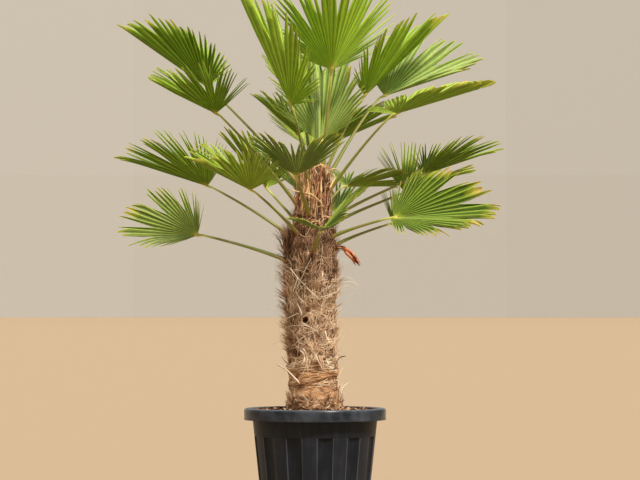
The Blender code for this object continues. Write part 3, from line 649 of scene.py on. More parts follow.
class PotSettings(PropertyGroup):
    height: length_of(0.340, "Height", "Height of the pot")
    wall: length_of(0.003, "Wall", "Thickness of the plastic")
    base_radius: length_of(0.155, "Base radius", "Outer radius at the floor")
    top_radius: length_of(0.190, "Top radius", "Outer radius of the wall under the rim")
    rim_radius: length_of(0.210, "Rim radius", "Outer radius of the turned-down rim")
    rim_drop: length_of(0.031, "Rim drop", "Height of the turned-down rim")
    flutes: IntProperty(name="Flutes", description="Recesses round the wall", default=12, min=3)
    flute_depth: length_of(0.0078, "Flute depth", "Depth of a recess at its middle")
    flute_top: length_of(0.260, "Flute top", "Height at which the recesses end")
    black: colour_of("#15181f", "Plastic", "Colour of the plastic")
    # Colour of real dust, also used for the painted highlights on the pot's top faces and flute edges and the
    # painted reflection on its rim.
    dust_and_sheen: colour_of("#8a929b", "Dust", "Colour of the dust on it")


class SoilSettings(PropertyGroup):
    chips: IntProperty(name="Chips", description="Loose bits of bark on the compost", default=900, min=0)
    chip_size: length_of(0.006, "Chip size", "Usual half length of a chip")
    dark: colour_of("#2a1710", "Wet bark", "Colour of damp bark")
    red: colour_of("#6d4029", "Bark", "Colour of bark")
    pale: colour_of("#b4926f", "Dry bits", "Colour of dry bits")


class TrunkSettings(PropertyGroup):
    locks: IntProperty(name="Locks", description="Locks of strands in the mat", default=1120, min=0)
    tufts: IntProperty(name="Tufts", description="Thick tufts round the trunk", default=40, min=0)
    hairs: IntProperty(name="Hairs", description="Single loose hairs that stand out", default=900, min=0)
    brushes: IntProperty(name="Brushes", description="Brushes of loose hairs", default=80, min=1)
    loops: IntProperty(name="Loops", description="Long loose hairs that curl back", default=60, min=0)
    ribbons: IntProperty(name="Ribbons", description="Flat pale strips", default=110, min=0)
    sheaths: IntProperty(name="Sheaths", description="Strips of young sheath round the crown",
                         default=190, min=1)
    strand_width: length_of(0.0008, "Strand width", "Half width of a strand in the mat")
    # The darkest fibre colour, which also paints the shade between strands and threads, in the hollows, under
    # the crown and along the cloth's lower edges.
    dark: colour_of("#402918", "Shade", "Colour between the strands")
    brown: colour_of("#b98d6b", "Brown", "Colour of weathered fibre")
    orange: colour_of("#deae7c", "Orange", "Colour of the wrapped fibre by the compost")
    fawn: colour_of("#e0ba91", "Fawn", "Colour of most strands")
    straw: colour_of("#fbe9cc", "Straw", "Colour of bleached fibre")
    cloth: colour_of("#aa7852", "Cloth", "Colour of the shaded sheath cloth by the compost")
    red: colour_of("#a96f52", "Sheath", "Colour of the young leaf sheaths")
    rose: colour_of("#d8ac7c", "Sheath face", "Colour of the paler young sheaths")
    cream: colour_of("#fad898", "Sheath edge", "Colour of the palest sheaths")


class LeafSettings(PropertyGroup):
    pitch: FloatProperty(name="Segment pitch", description="Angle between two segments",
                         default=math.radians(5.2), min=0.01, subtype="ANGLE")
    pleat: FloatProperty(name="Pleat", description="Slope of a segment's two sides",
                         default=math.radians(43.0), min=0.0, subtype="ANGLE")
    thickness: length_of(0.0007, "Thickness", "Thickness of a segment")
    # Painted light and shade: bright is the green of sunlit fronds, and deep, shade and sage the greens of
    # shaded ones.
    bright: colour_of("#b5d93e", "Bright", "Colour of sunlit fronds")
    mid: colour_of("#a2bc3a", "Mid", "Colour of most fronds")
    deep: colour_of("#82a61c", "Deep", "Colour of shaded fronds")
    shade: colour_of("#6c921c", "Shade", "Colour of the deepest green fronds")
    sage: colour_of("#93a657", "Sage", "Colour of shaded fronds with a dusty bloom")
    grey: colour_of("#b2ca74", "Grey", "Colour of a frond seen from below")
    rib: colour_of("#d0dd6a", "Ribs", "Colour of midribs and margins")
    hub: colour_of("#c6c850", "Hub", "Colour of the folds by the hub")
    yellow: colour_of("#bfba4a", "Yellow", "Colour of tips that have begun to dry")
    dry: colour_of("#c8b46a", "Dry", "Colour of dry tips")
    stalk: colour_of("#788a2b", "Petiole", "Colour of the petioles")


# Stage

def extrude_rim(rise, scale, height):
    """Draw the selected rim up by rise and scale it about the axis."""
    bpy.ops.mesh.extrude_region_move(TRANSFORM_OT_translate={"value": (0.0, 0.0, rise)})
    bpy.ops.transform.resize(value=(scale, scale, 1.0), center_override=(0.0, 0.0, height))


def turned(name, sides, outline, filled):
    """A form turned about the Z axis: a circle drawn along an outline of radius and height."""
    deselect()
    start, level = outline[0]
    bpy.ops.mesh.primitive_circle_add(
        vertices=sides, radius=start, fill_type="NGON" if filled else "NOTHING", location=(0.0, 0.0, level))
    piece = bpy.context.object
    piece.name = piece.data.name = name
    bpy.ops.object.transform_apply(location=True, rotation=True, scale=True)
    bpy.ops.object.mode_set(mode="EDIT")
    bpy.ops.mesh.select_mode(type="EDGE")
    bpy.ops.mesh.select_all(action="SELECT")
    if filled:
        bpy.ops.mesh.region_to_loop()
    for radius, height in outline[1:]:
        extrude_rim(height - level, radius / start, height)
        start, level = radius, height
    bpy.ops.object.mode_set(mode="OBJECT")
    return piece


class PALM_OT_stage(Operator):
    """Add the plain floor and backdrop, the soft light and the camera"""
    bl_idname = "palm.stage"
    bl_label = "Stage"

    # The camera stands 9 m in front, 0.65 m up, looks up 1.3 degrees and sees 1.92 m across.
    CAMERA_PLACE = (0.015, -9.0, 0.649)
    CAMERA_PITCH = 1.26
    LENS = 168.75
    SENSOR = 36.0
    REACH = 160.0
    SIDES = 96
    WALL_HEIGHT = 70.0
    DAYLIGHT = (1.0, 0.96, 0.90)

    def execute(self, context):
        settings = context.scene.palm_stage
        reach = self.REACH
        floor = turned("stage_floor", self.SIDES, ((reach, 0.0), (reach + 4.0, 0.0)), True)
        wall = turned("stage_backdrop", self.SIDES,
                      ((reach, -1.0), (reach, 8.0), (reach + 2.0, self.WALL_HEIGHT)), False)
        for piece, colour in ((floor, settings.floor), (wall, settings.wall)):
            piece.data.materials.append(stage_material(piece.name + "_paint", colour, 0.9))

        world = context.scene.world or bpy.data.worlds.new("palm_world")
        context.scene.world = world
        world.use_nodes = True
        background = world.node_tree.nodes["Background"]
        background.inputs["Color"].default_value = settings.sky
        background.inputs["Strength"].default_value = settings.sky_strength

        key = bpy.data.lights.new("key_light", "SUN")
        key.energy = settings.key_strength
        key.angle = settings.key_angle
        key.color = self.DAYLIGHT
        lamp = bpy.data.objects.new("key_light", key)
        context.scene.collection.objects.link(lamp)
        away = Vector((math.sin(settings.key_side) * math.cos(settings.key_rise),
                       -math.cos(settings.key_side) * math.cos(settings.key_rise),
                       math.sin(settings.key_rise)))
        lamp.rotation_euler = away.to_track_quat("Z", "Y").to_euler()

        lens = bpy.data.cameras.new("photo_view")
        lens.lens = self.LENS
        lens.sensor_width = self.SENSOR
        camera = bpy.data.objects.new("photo_view", lens)
        camera.location = self.CAMERA_PLACE
        camera.rotation_euler = (math.radians(90.0 + self.CAMERA_PITCH), 0.0, 0.0)
        context.scene.collection.objects.link(camera)
        context.scene.camera = camera
        context.scene.view_settings.view_transform = "Standard"
        return {"FINISHED"}


# Pot

class PALM_OT_pot(Operator):
    """Mould the pot: floor, tapered wall with scalloped flutes, plain band and turned-down rim"""
    bl_idname = "palm.pot"
    bl_label = "Pot"

    PER_FLUTE = 20
    FOOT = 0.006
    FLUTE_LOW = 0.020
    FLUTE_BEARING = -80.0
    HALF_FLUTE = 7.4
    LEDGE = 0.0007
    ROUND = 0.0025
    RAMP = 0.014
    BAND_LOW = 0.300
    HOLE_RADIUS = 0.006
    HOLE_CIRCLE = 0.115
    HOLE_BEARINGS = (45.0, 135.0, 225.0, 315.0)

    def wall_radius(self, settings, height):
        slope = (settings.top_radius - settings.base_radius) / (settings.height - self.FOOT)
        return settings.base_radius + slope * (height - self.FOOT)

    def outline(self, settings):
        """Radius and height from the floor up the outside and over the rim to its lower edge."""
        top, wall, rim = settings.height, settings.top_radius, settings.rim_radius
        rows = [(settings.base_radius - self.FOOT, 0.0), (settings.base_radius - self.FOOT * 0.3, 0.0015),
                (settings.base_radius, self.FOOT)]
        heights = [self.FLUTE_LOW, self.FLUTE_LOW + 0.006, self.FLUTE_LOW + self.RAMP]
        heights += list(np.linspace(0.06, settings.flute_top - 0.012, 7))
        heights += [settings.flute_top - below for below in (0.002, self.LEDGE, 0.0)] + [self.BAND_LOW]
        rows += [(self.wall_radius(settings, height), float(height)) for height in heights]
        curl = self.ROUND
        # The rim is a skirt with rounded shoulders and a lower edge that turns out a little.
        rows += [(wall, top - 0.006), (wall + 0.6 * curl, top - 0.7 * curl), (wall + 1.6 * curl, top),
                 (rim - 1.9 * curl, top), (rim - 0.7 * curl, top - 0.35 * curl),
                 (rim - 0.2 * curl, top - 1.1 * curl), (rim, top - 2.4 * curl), (rim - 0.0006, top - 0.022),
                 (rim, top - settings.rim_drop + 0.002), (rim - 0.0002, top - settings.rim_drop)]
        return rows

    def execute(self, context):
        settings = context.scene.palm_pot
        sides = settings.flutes * self.PER_FLUTE
        pot = turned("pot_shell", sides, self.outline(settings), True)

        # Hollow the flutes: a shallow round scoop, deepest in its middle, with a sharp upper ledge.
        count = len(pot.data.vertices)
        flat = np.empty(count * 3)
        pot.data.vertices.foreach_get("co", flat)
        places = flat.reshape(-1, 3)
        radius = np.hypot(places[:, 0], places[:, 1])
        bearing = np.degrees(np.arctan2(places[:, 1], places[:, 0])) - self.FLUTE_BEARING
        pitch = 360.0 / settings.flutes
        # Columns gather at both edges of a flute, so that they are crisp.
        signed = (bearing + pitch / 2.0) % pitch - pitch / 2.0
        step = pitch / self.PER_FLUTE
        offset = np.interp(np.abs(signed), (0.0, 4.0 * step, 5.0 * step, 6.0 * step, 10.0 * step),
                           (0.0, 6.2, self.HALF_FLUTE, self.HALF_FLUTE + 0.4, 10.0 * step))
        places = spin(places, 0, 1, np.radians(np.sign(signed) * (offset - np.abs(signed))))
        share = np.where(offset < self.HALF_FLUTE + 0.1, 1.0 - 0.62 * (offset / self.HALF_FLUTE) ** 2, 0.0)
        height = places[:, 2]
        ramp = np.clip((height - self.FLUTE_LOW) / self.RAMP, 0.0, 1.0)
        inside = ((height > self.FLUTE_LOW) & (height < settings.flute_top - self.LEDGE / 2)
                  & (radius < settings.top_radius))
        depth = np.where(inside, settings.flute_depth * share * ramp, 0.0)
        places[:, :2] *= (1.0 - depth / np.maximum(radius, 0.01))[:, None]
        move_corners(pot, places)
        # Marks for the material: none in a flute, a painted highlight on its edges, paler ribs between, a
        # little elsewhere.
        worn = np.where(offset < self.HALF_FLUTE + 0.5, 1.0, 0.4)
        worn = np.where(offset < self.HALF_FLUTE + 0.1, 0.0, worn)
        mark(pot, "worn", np.where(inside, worn, 0.1))

        shell = pot.modifiers.new("Wall", "SOLIDIFY")
        shell.thickness = settings.wall
        shell.offset = -1.0
        shell.use_even_offset = True
        weld(pot)
        if min(pot.data.polygons, key=lambda face: face.center.z).normal.z > 0.0:
            bpy.ops.object.mode_set(mode="EDIT")
            bpy.ops.mesh.flip_normals()
            bpy.ops.object.mode_set(mode="OBJECT")
        apply_modifiers(pot)
        for bearing in self.HOLE_BEARINGS:
            place = polar(self.HOLE_CIRCLE, math.radians(bearing), 0.0)
            deselect()
            bpy.ops.mesh.primitive_cylinder_add(
                vertices=24, radius=self.HOLE_RADIUS, depth=6.0 * settings.wall, location=place)
            drill = context.object
            cut = pot.modifiers.new("Hole", "BOOLEAN")
            cut.operation = "DIFFERENCE"
            cut.object = drill
            cut.solver = "EXACT"
            apply_modifiers(pot)
            bpy.data.objects.remove(drill)
        finish_piece(pot, plastic_material("moulded_plastic", settings.black, settings.dust_and_sheen),
                     ["pot"], 28.0)
        return {"FINISHED"}


# Compost

class PALM_OT_soil(Operator):
    """Fill the pot with bark compost and strew its chips"""
    bl_idname = "palm.soil"
    bl_label = "Compost"

    TOP = 0.338
    EDGE = 0.336
    INNER = 0.060
    OUTER = 0.1850
    COLUMNS = 120
    ROWS = 26
    LOW = 0.300
    # The compost falls from this radius to its edge.
    FALL = 0.150
    # The chips lie between two radii. The first few are large pale flakes at the front.
    CHIP_RING = (0.076, 0.181)
    FLAKES = 9
    FLAKE_RING = (0.085, 0.16)
    FLAKE_SIZE = 0.013
    TONES = (0.1, 0.25, 0.35, 0.45, 0.5, 0.55, 0.6, 0.65, 0.75, 1.0)

    def surface(self, places):
        """Height of the compost at each place."""
        radius = np.hypot(places[:, 0], places[:, 1])
        fall = np.clip((radius - self.FALL) / (self.OUTER - self.FALL), 0.0, 1.0)
        level = self.TOP - (self.TOP - self.EDGE) * fall**2
        flat = np.column_stack((places[:, :2], np.zeros(len(places))))
        return level + 0.0022 * rough(flat, 0.030, 1) + 0.0012 * rough(flat, 0.008, 2)

    def execute(self, context):
        settings = context.scene.palm_soil
        draw = random.Random(11)
        bed = sheet_grid("compost_bed", self.COLUMNS, self.ROWS)
        u, v = corners(bed)
        row = np.rint(v * self.ROWS)
        radius = self.INNER + (self.OUTER - self.INNER) * np.clip((row - 1) / (self.ROWS - 2), 0.0, 1.0)
        places = polar(radius, 2.0 * math.pi * u, 0.0)
        top = self.surface(places)
        places[:, 2] = np.where((row == 0) | (row == self.ROWS), self.LOW, top)
        middle = row == 0
        places[middle, :2] = 0.0
        places[row == self.ROWS, :2] *= 0.96
        move_corners(bed, places)
        weld(bed)
        # Close the bed underneath.
        choose(bed)
        bpy.ops.object.mode_set(mode="EDIT")
        bpy.ops.mesh.select_all(action="DESELECT")
        bpy.ops.mesh.select_mode(type="EDGE")
        bpy.ops.mesh.select_non_manifold()
        bpy.ops.mesh.edge_face_add()
        bpy.ops.object.mode_set(mode="OBJECT")
        face_outwards(bed)
        mark(bed, "tone", 0.42)
        bark = bark_material("composted_bark", (
            (0.0, settings.dark), (0.35, settings.dark), (0.62, settings.red), (1.0, settings.pale)))
        finish_piece(bed, bark, ["soil"])

        # One chip, a lump of 20 faces flattened to a flake, is laid many times.
        deselect()
        bpy.ops.mesh.primitive_ico_sphere_add(subdivisions=1, radius=1.0)
        chip = context.object
        lump = np.array([vertex.co for vertex in chip.data.vertices])
        faces = np.array([list(face.vertices) for face in chip.data.polygons])
        bpy.data.objects.remove(chip)
        laid, tones = [], []
        near, far = self.CHIP_RING
        for i in range(settings.chips):
            bearing = draw.uniform(0.0, 2.0 * math.pi)
            radius = math.sqrt(draw.uniform(near**2, far**2))
            size = settings.chip_size * draw.uniform(0.35, 1.6)
            flake = i < self.FLAKES
            if flake:
                bearing, radius = math.radians(draw.uniform(-75.0, -15.0)), draw.uniform(*self.FLAKE_RING)
                size = self.FLAKE_SIZE
            scale = np.array((size, size * draw.uniform(0.35, 0.8), size * draw.uniform(0.18, 0.45)))
            shape = lump * scale * (1.0 + 0.35 * np.array([draw.uniform(-1.0, 1.0) for _ in lump]))[:, None]
            turn, tip = draw.uniform(0.0, 2.0 * math.pi), draw.uniform(-0.5, 0.5)
            shape = spin(spin(shape, 0, 2, tip), 0, 1, turn)
            place = polar(radius, bearing, 0.0)
            place[2] = self.surface(place[None])[0] + size * 0.12 + 0.004 * draw.random() ** 3
            laid.append(shape + place)
            tones.append(1.0 if flake else draw.choice(self.TONES))
        strides = (np.arange(settings.chips) * len(lump))[:, None, None]
        faces = (faces[None] + strides).reshape(-1, 3)
        chips = new_piece("compost_chips", np.concatenate(laid), faces.tolist())
        mark(chips, "tone", np.repeat(tones, len(lump)))
        finish_piece(chips, bark, ["soil"], 40.0)
        return {"FINISHED"}


# Trunk

def trunk_radius(height):
    return np.interp(height, TRUNK_HEIGHTS, TRUNK_RADII)


def trunk_middle(height):
    share = np.clip((height - TRUNK_BASE) / (TRUNK_TOP - TRUNK_BASE), 0.0, 1.0)
    sway = -TRUNK_SWAY * np.sin(math.pi * share)
    return np.stack(np.broadcast_arrays(sway, 0.0, height), axis=-1)


def boot_relief(angle, height):
    """Swellings of the old leaf bases, in two crossing spirals."""
    turn = angle / (2.0 * math.pi)
    climb = height / BOOT_PITCH
    fade = np.clip(np.minimum((height - TRUNK_BASE) / 0.06, (TRUNK_TOP + 0.02 - height) / 0.06), 0.0, 1.0)
    right, left = 2.0 * math.pi * (3.0 * turn + climb), 2.0 * math.pi * (5.0 * turn - climb)
    return BOOT_HEIGHT * fade * np.sin(right) * np.sin(left)


def hollow_depth(angle, height):
    """How far the hollows of fallen leaf bases go in, and their share from 0 to 1."""
    depth = np.zeros(np.broadcast(angle, height).shape)
    share = np.zeros_like(depth)
    for bearing, level, size, deep in HOLLOWS:
        away = (angle - math.radians(bearing) + math.pi) % (2.0 * math.pi) - math.pi
        apart = np.hypot(away * trunk_radius(level), (height - level) * 1.15)
        inside = np.clip(1.3 * (1.0 - (apart / size) ** 2), 0.0, 1.0)
        depth = np.maximum(depth, deep * inside)
        share = np.maximum(share, inside)
    return depth, share


def wander(draw, count, start, length, curl, lift, flare, droop=0.0, wobble=0.12):
    """A fibre's way over the trunk: bearing, height and heading at its start, then its length."""
    bearing, height, heading = start
    step = length / (count - 1)
    line = []
    for i in range(count):
        share = i / (count - 1)
        radius = float(trunk_radius(height)) + float(boot_relief(bearing, height)) + lift + flare * share**2
        place = trunk_middle(height) + polar(radius, bearing, 0.0)
        place[2] -= droop * share**2
        line.append(place)
        bearing += math.sin(heading) * step / radius
        height = min(max(height + math.cos(heading) * step, STRAND_LOW), STRAND_HIGH)
        heading += curl * step + draw.gauss(0.0, wobble)
    return np.array(line)


def over_front(points, lift):
    """Places on the trunk's front side from their side and height in the front view."""
    places = []
    for side, height, *off in points:
        middle = trunk_middle(height)
        radius = float(trunk_radius(height)) + lift + sum(off)
        apart = side - middle[0]
        places.append((side, -math.sqrt(max(radius**2 - apart**2, 0.012**2)), height))
    return places


def outward(lines):
    """The way out from the trunk's middle at each point of some lines."""
    out = lines - trunk_middle(lines[..., 2])
    out[..., 2] = 0.0
    return unit(out + 1e-9)


def taper(count, end, tip):
    """Widths that stay 1 up to tip, a share of the length, and narrow from there to end."""
    share = np.linspace(0.0, 1.0, count)
    return 1.0 + (end - 1.0) * np.clip((share - tip) / (1.0 - tip), 0.0, 1.0)


class PALM_OT_trunk(Operator):
    """Build the trunk's felted core and the stubs of its cut petioles"""
    bl_idname = "palm.trunk"
    bl_label = "Trunk"

    COLUMNS = 168
    ROWS = 240
    LOW = 0.320
    CAP = 0.018
    SUNK = 0.0050
    STUBS = 14
    STUB_HALF_WIDTH = 0.0090
    STUB_HALF_HEIGHT = 0.0048

    def execute(self, context):
        settings = context.scene.palm_trunk
        core = sheet_grid("trunk_core", self.COLUMNS, self.ROWS)
        u, v = corners(core)
        angle = 2.0 * math.pi * u
        row = np.rint(v * self.ROWS)
        height = self.LOW + (TRUNK_TOP - self.LOW) * np.clip((row - 1) / (self.ROWS - 4), 0.0, 1.0)
        depth, share = hollow_depth(angle, height)
        radius = trunk_radius(height) - self.SUNK + boot_relief(angle, height) - depth
        radius -= 0.004 * np.clip((height - 0.98) / 0.04, 0.0, 1.0)
        # Edges of the fibre wraps: thin steps that run round the trunk on a slant.
        lap = (height / 0.050 + 0.9 * np.sin(angle + 1.0) + 0.35 * np.sin(3.0 * angle)) % 1.0
        radius += 0.0022 * (lap - 0.5)
        around = polar(radius, angle, height)
        radius += 0.0016 * rough(around * (1.0, 1.0, 0.5), 0.012, 3) + 0.0008 * rough(around, 0.004, 4)
        last = row - (self.ROWS - 3)
        radius = np.where(last > 0, radius * np.clip(1.0 - (last / 3.0) ** 2, 0.0, 1.0), radius)
        height = height + np.where(last > 0, self.CAP * last / 3.0, 0.0)
        radius = np.where(row == 0, 0.0, radius)
        places = trunk_middle(height) + polar(radius, angle, 0.0)
        move_corners(core, places)
        # Painted shade for the mat: most in the hollows, and growing towards the top under the crown.
        mark(core, "hollow", np.maximum(share * 0.9, np.clip((height - 0.93) / 0.08, 0.0, 0.6)))
        weld(core)
        finish_piece(core, mat_material("felted_fibre", settings.orange, settings.brown, settings.dark),
                     ["trunk"])
        self.add_stubs(settings)
        return {"FINISHED"}

    def add_stubs(self, settings):
        """Stubs of cut petioles, three-sided with a flat cut end, climbing by the golden angle."""
        stubs = []
        for i in range(self.STUBS):
            height = 0.415 + 0.385 * i / (self.STUBS - 1)
            bearing = math.radians(20.0 + GOLDEN_TURN * i)
            out = polar(1.0, bearing, 0.0)
            way = unit(out + UP * 1.1)
            root = trunk_middle(height) + out * (trunk_radius(height) - 0.014)
            shares = np.array((0.0, 0.0, 0.25, 0.5, 0.75, 0.96, 1.0, 1.0))
            reach = 0.022 + 0.006 * ((i * 5) % 3)
            line = root + way * reach * shares[:, None] + out * 0.005 * (shares**2)[:, None]
            across = np.repeat(unit(np.cross(way, out))[None], len(shares), axis=0)
            over = np.repeat(np.cross(across[0], way)[None], len(shares), axis=0)
            size = np.array((0.0, 1.0, 0.93, 0.85, 0.78, 0.72, 0.66, 0.0))
            stubs.append(roll_tube(f"stub_{i}", 12, line, across, over,
                                   self.STUB_HALF_WIDTH * size, self.STUB_HALF_HEIGHT * size))
            mark(stubs[-1], "tone", 0.05 + 0.1 * (i % 3))
        piece = join(stubs, "petiole_stubs")
        stops = ((0.0, settings.dark), (0.5, settings.brown), (1.0, settings.straw))
        finish_piece(piece, fibre_material("cut_petiole", stops, 0.7), ["trunk"], 40.0)


class PALM_OT_fibre(Operator):
    """Lay the mat of fibre over the trunk, with loose hairs, pale ribbons and young sheaths"""
    bl_idname = "palm.fibre"
    bl_label = "Fibre"

    WRAP_COLUMNS = 120
    WRAP_ROWS = 10
    # Heights up to which the mat is rough, then wrapped, then tangled. Above, it hangs.
    ROUGH_TO, WRAPPED_TO, TANGLED_TO = 0.395, 0.462, 0.765
    FOOT = (0.341, 0.366)
    FOOT_SHARE = 0.26
    PALE_SHARE = 0.60
    # Strips in front view: side and height of each point, with how far it stands off, then half
    # width and tone. First the straight splinters, the loops and the strips that lie on the tangle.
    FRONT_STRIPS = (
        (((-0.075, 0.763), (-0.051, 0.733), (-0.020, 0.700), (0.012, 0.670)), 0.0013, 1.0),
        (((-0.051, 0.733), (-0.060, 0.708), (-0.067, 0.687)), 0.0013, 1.0),
        (((-0.057, 0.692), (-0.045, 0.672), (-0.027, 0.656)), 0.0012, 0.95),
        (((-0.0525, 0.656), (-0.045, 0.640), (-0.038, 0.621)), 0.0020, 0.95),
        (((-0.093, 0.610), (-0.070, 0.618), (-0.047, 0.6286)), 0.0012, 1.0),
        (((0.014, 0.727), (0.040, 0.738), (0.040, 0.775), (0.012, 0.786), (-0.010, 0.760), (-0.002, 0.735)),
         0.0006, 0.66),
        (((0.008, 0.722), (0.030, 0.732), (0.034, 0.765), (0.016, 0.776), (0.000, 0.756), (0.006, 0.738)),
         0.0005, 0.62),
        (((-0.008, 0.715), (0.035, 0.718), (0.050, 0.750), (0.034, 0.792), (0.006, 0.796)), 0.0006, 0.50),
        # The pale lip, the straw and the dark thorn at the left.
        (((-0.113, 0.474, 0.01), (-0.084, 0.457), (-0.058, 0.432), (-0.045, 0.418)), 0.0028, 0.92),
        (((-0.129, 0.531, 0.01), (-0.100, 0.550, 0.01), (-0.078, 0.563)), 0.0014, 1.0),
        (((-0.100, 0.497, 0.01), (-0.090, 0.484), (-0.078, 0.474)), 0.0020, 0.10),
        # The flap with pale edges in the middle.
        (((0.002, 0.503, 0.006), (0.012, 0.482, 0.005), (0.024, 0.459)), 0.0013, 1.0),
        (((0.020, 0.500, 0.006), (0.025, 0.480, 0.005), (0.027, 0.459)), 0.0012, 0.95),
        (((0.012, 0.500, 0.003), (0.018, 0.482, 0.003), (0.024, 0.464)), 0.0050, 0.45),
        # The hook thorn and the curled strips at the right.
        (((0.058, 0.458), (0.066, 0.485, 0.004), (0.078, 0.497, 0.01), (0.094, 0.499, 0.02)), 0.0017, 0.08),
        (((0.071, 0.398, 0.004), (0.070, 0.425, 0.006), (0.076, 0.450, 0.01), (0.086, 0.465, 0.016)),
         0.0026, 0.72),
        (((0.076, 0.374, 0.003), (0.079, 0.396, 0.006), (0.088, 0.410, 0.012), (0.100, 0.420, 0.02)),
         0.0015, 1.0),
        (((0.073, 0.365, 0.003), (0.074, 0.392, 0.006), (0.083, 0.418, 0.012)), 0.0012, 0.95),
        # Cut ends and long arching hairs at the right.
        (((0.048, 0.742), (0.056, 0.749, 0.004), (0.064, 0.757, 0.01)), 0.0034, 0.05),
        (((0.050, 0.636), (0.066, 0.648, 0.004), (0.082, 0.657, 0.012)), 0.0022, 0.20),
        (((0.056, 0.706), (0.088, 0.722, 0.03), (0.124, 0.716, 0.06), (0.148, 0.690, 0.08),
          (0.150, 0.660, 0.08)), 0.0006, 0.95),
        (((0.054, 0.690), (0.082, 0.710, 0.02), (0.118, 0.702, 0.05), (0.138, 0.672, 0.07),
          (0.136, 0.648, 0.07)), 0.0005, 0.90),
        (((0.058, 0.725), (0.080, 0.738, 0.02), (0.112, 0.728, 0.05), (0.130, 0.700, 0.06)), 0.0005, 0.90),
    )
    # Tufts of the outline: bearing in degrees, height, heading, length, flare and tone.
    TUFTS = (
        (178.0, 0.787, 0.05, 0.095, 0.040, 0.08), (190.0, 0.772, 0.2, 0.070, 0.034, 0.15),
        (172.0, 0.752, 0.1, 0.060, 0.032, 0.25), (186.0, 0.728, 0.3, 0.052, 0.034, 0.30),
        (176.0, 0.702, 0.1, 0.050, 0.032, 0.32), (192.0, 0.676, 0.4, 0.046, 0.032, 0.36),
        (180.0, 0.648, 0.2, 0.048, 0.034, 0.35), (170.0, 0.622, 0.4, 0.044, 0.030, 0.40),
        (188.0, 0.596, 0.3, 0.044, 0.028, 0.42), (180.0, 0.566, 0.2, 0.048, 0.032, 0.45),
        (196.0, 0.548, 0.5, 0.046, 0.032, 0.40), (184.0, 0.527, 0.3, 0.044, 0.030, 0.45),
        (200.0, 0.505, 0.7, 0.034, 0.020, 0.20), (172.0, 0.503, 0.3, 0.040, 0.024, 0.55),
        (-4.0, 0.530, 0.2, 0.038, 0.026, 0.70), (4.0, 0.548, 0.0, 0.034, 0.020, 0.65),
        (-8.0, 0.690, 0.6, 0.052, 0.034, 0.85), (2.0, 0.664, 0.2, 0.040, 0.022, 0.70),
        (-2.0, 0.600, 0.1, 0.038, 0.020, 0.62), (0.0, 0.730, 0.2, 0.044, 0.024, 0.62),
        (-70.0, 0.822, 0.3, 0.034, 0.024, 0.04), (-55.0, 0.832, 0.0, 0.036, 0.022, 0.06),
        (6.0, 0.790, 0.0, 0.060, 0.030, 0.12), (-6.0, 0.845, 0.1, 0.050, 0.030, 0.15),
        (-150.0, 0.800, -0.2, 0.070, 0.020, 0.06), (-40.0, 0.810, 0.2, 0.050, 0.022, 0.10),
        (184.0, 0.768, 0.1, 0.115, 0.054, 0.22), (171.0, 0.794, 0.0, 0.105, 0.050, 0.26),
        (190.0, 0.802, 0.1, 0.095, 0.044, 0.18), (176.0, 0.826, 0.0, 0.085, 0.038, 0.20),
    )
    # Pale strips that arch over the crown, its yellow young petiole and its ragged top.
    CROWN_STRIPS = (
        (((-0.080, -0.030, 0.998), (-0.057, -0.044, 0.992), (-0.034, -0.055, 0.987), (-0.009, -0.062, 0.982),
          (0.010, -0.061, 0.966), (0.024, -0.058, 0.950)), 0.0015, 0.95),
        (((-0.011, -0.050, 1.053), (0.004, -0.054, 1.066), (0.020, -0.056, 1.070), (0.030, -0.054, 1.066),
          (0.036, -0.050, 1.052)), 0.0016, 0.85),
        (((0.032, -0.046, 1.040), (0.046, -0.036, 1.056), (0.060, -0.026, 1.060), (0.070, -0.020, 1.055)),
         0.0018, 0.80),
        (((0.044, -0.034, 1.000), (0.054, -0.028, 1.018), (0.060, -0.024, 1.030), (0.058, -0.022, 1.044)),
         0.0050, 0.92),
        (((-0.040, -0.042, 1.036), (-0.046, -0.040, 1.052), (-0.036, -0.042, 1.062), (-0.022, -0.046, 1.058)),
         0.0026, 0.60),
        (((0.014, -0.048, 1.036), (0.022, -0.050, 1.056), (0.034, -0.046, 1.064), (0.046, -0.040, 1.058)),
         0.0030, 0.36),
    )

    def clear_of_hollows(self, line, most=0.35):
        """Whether a strand keeps out of the hollows, up to their share most."""
        out = line - trunk_middle(line[:, 2])
        share = hollow_depth(np.arctan2(out[:, 1], out[:, 0]), line[:, 2])[1]
        return share.max() < most

    def lay(self, name, strands, sides, material, ends, flat=1.0):
        """Lay strands, each a line, a half width and a tone, as one piece. ends: how they taper."""
        lines, wide, tones = zip(*strands)
        lines = np.array(lines)
        width = np.outer(wide, taper(lines.shape[1], *ends))
        piece = bundle(name, lines, outward(lines), width, width * flat,
                       np.clip(tones, 0.03, 1.0), sides)
        finish_piece(piece, material, ["trunk"])

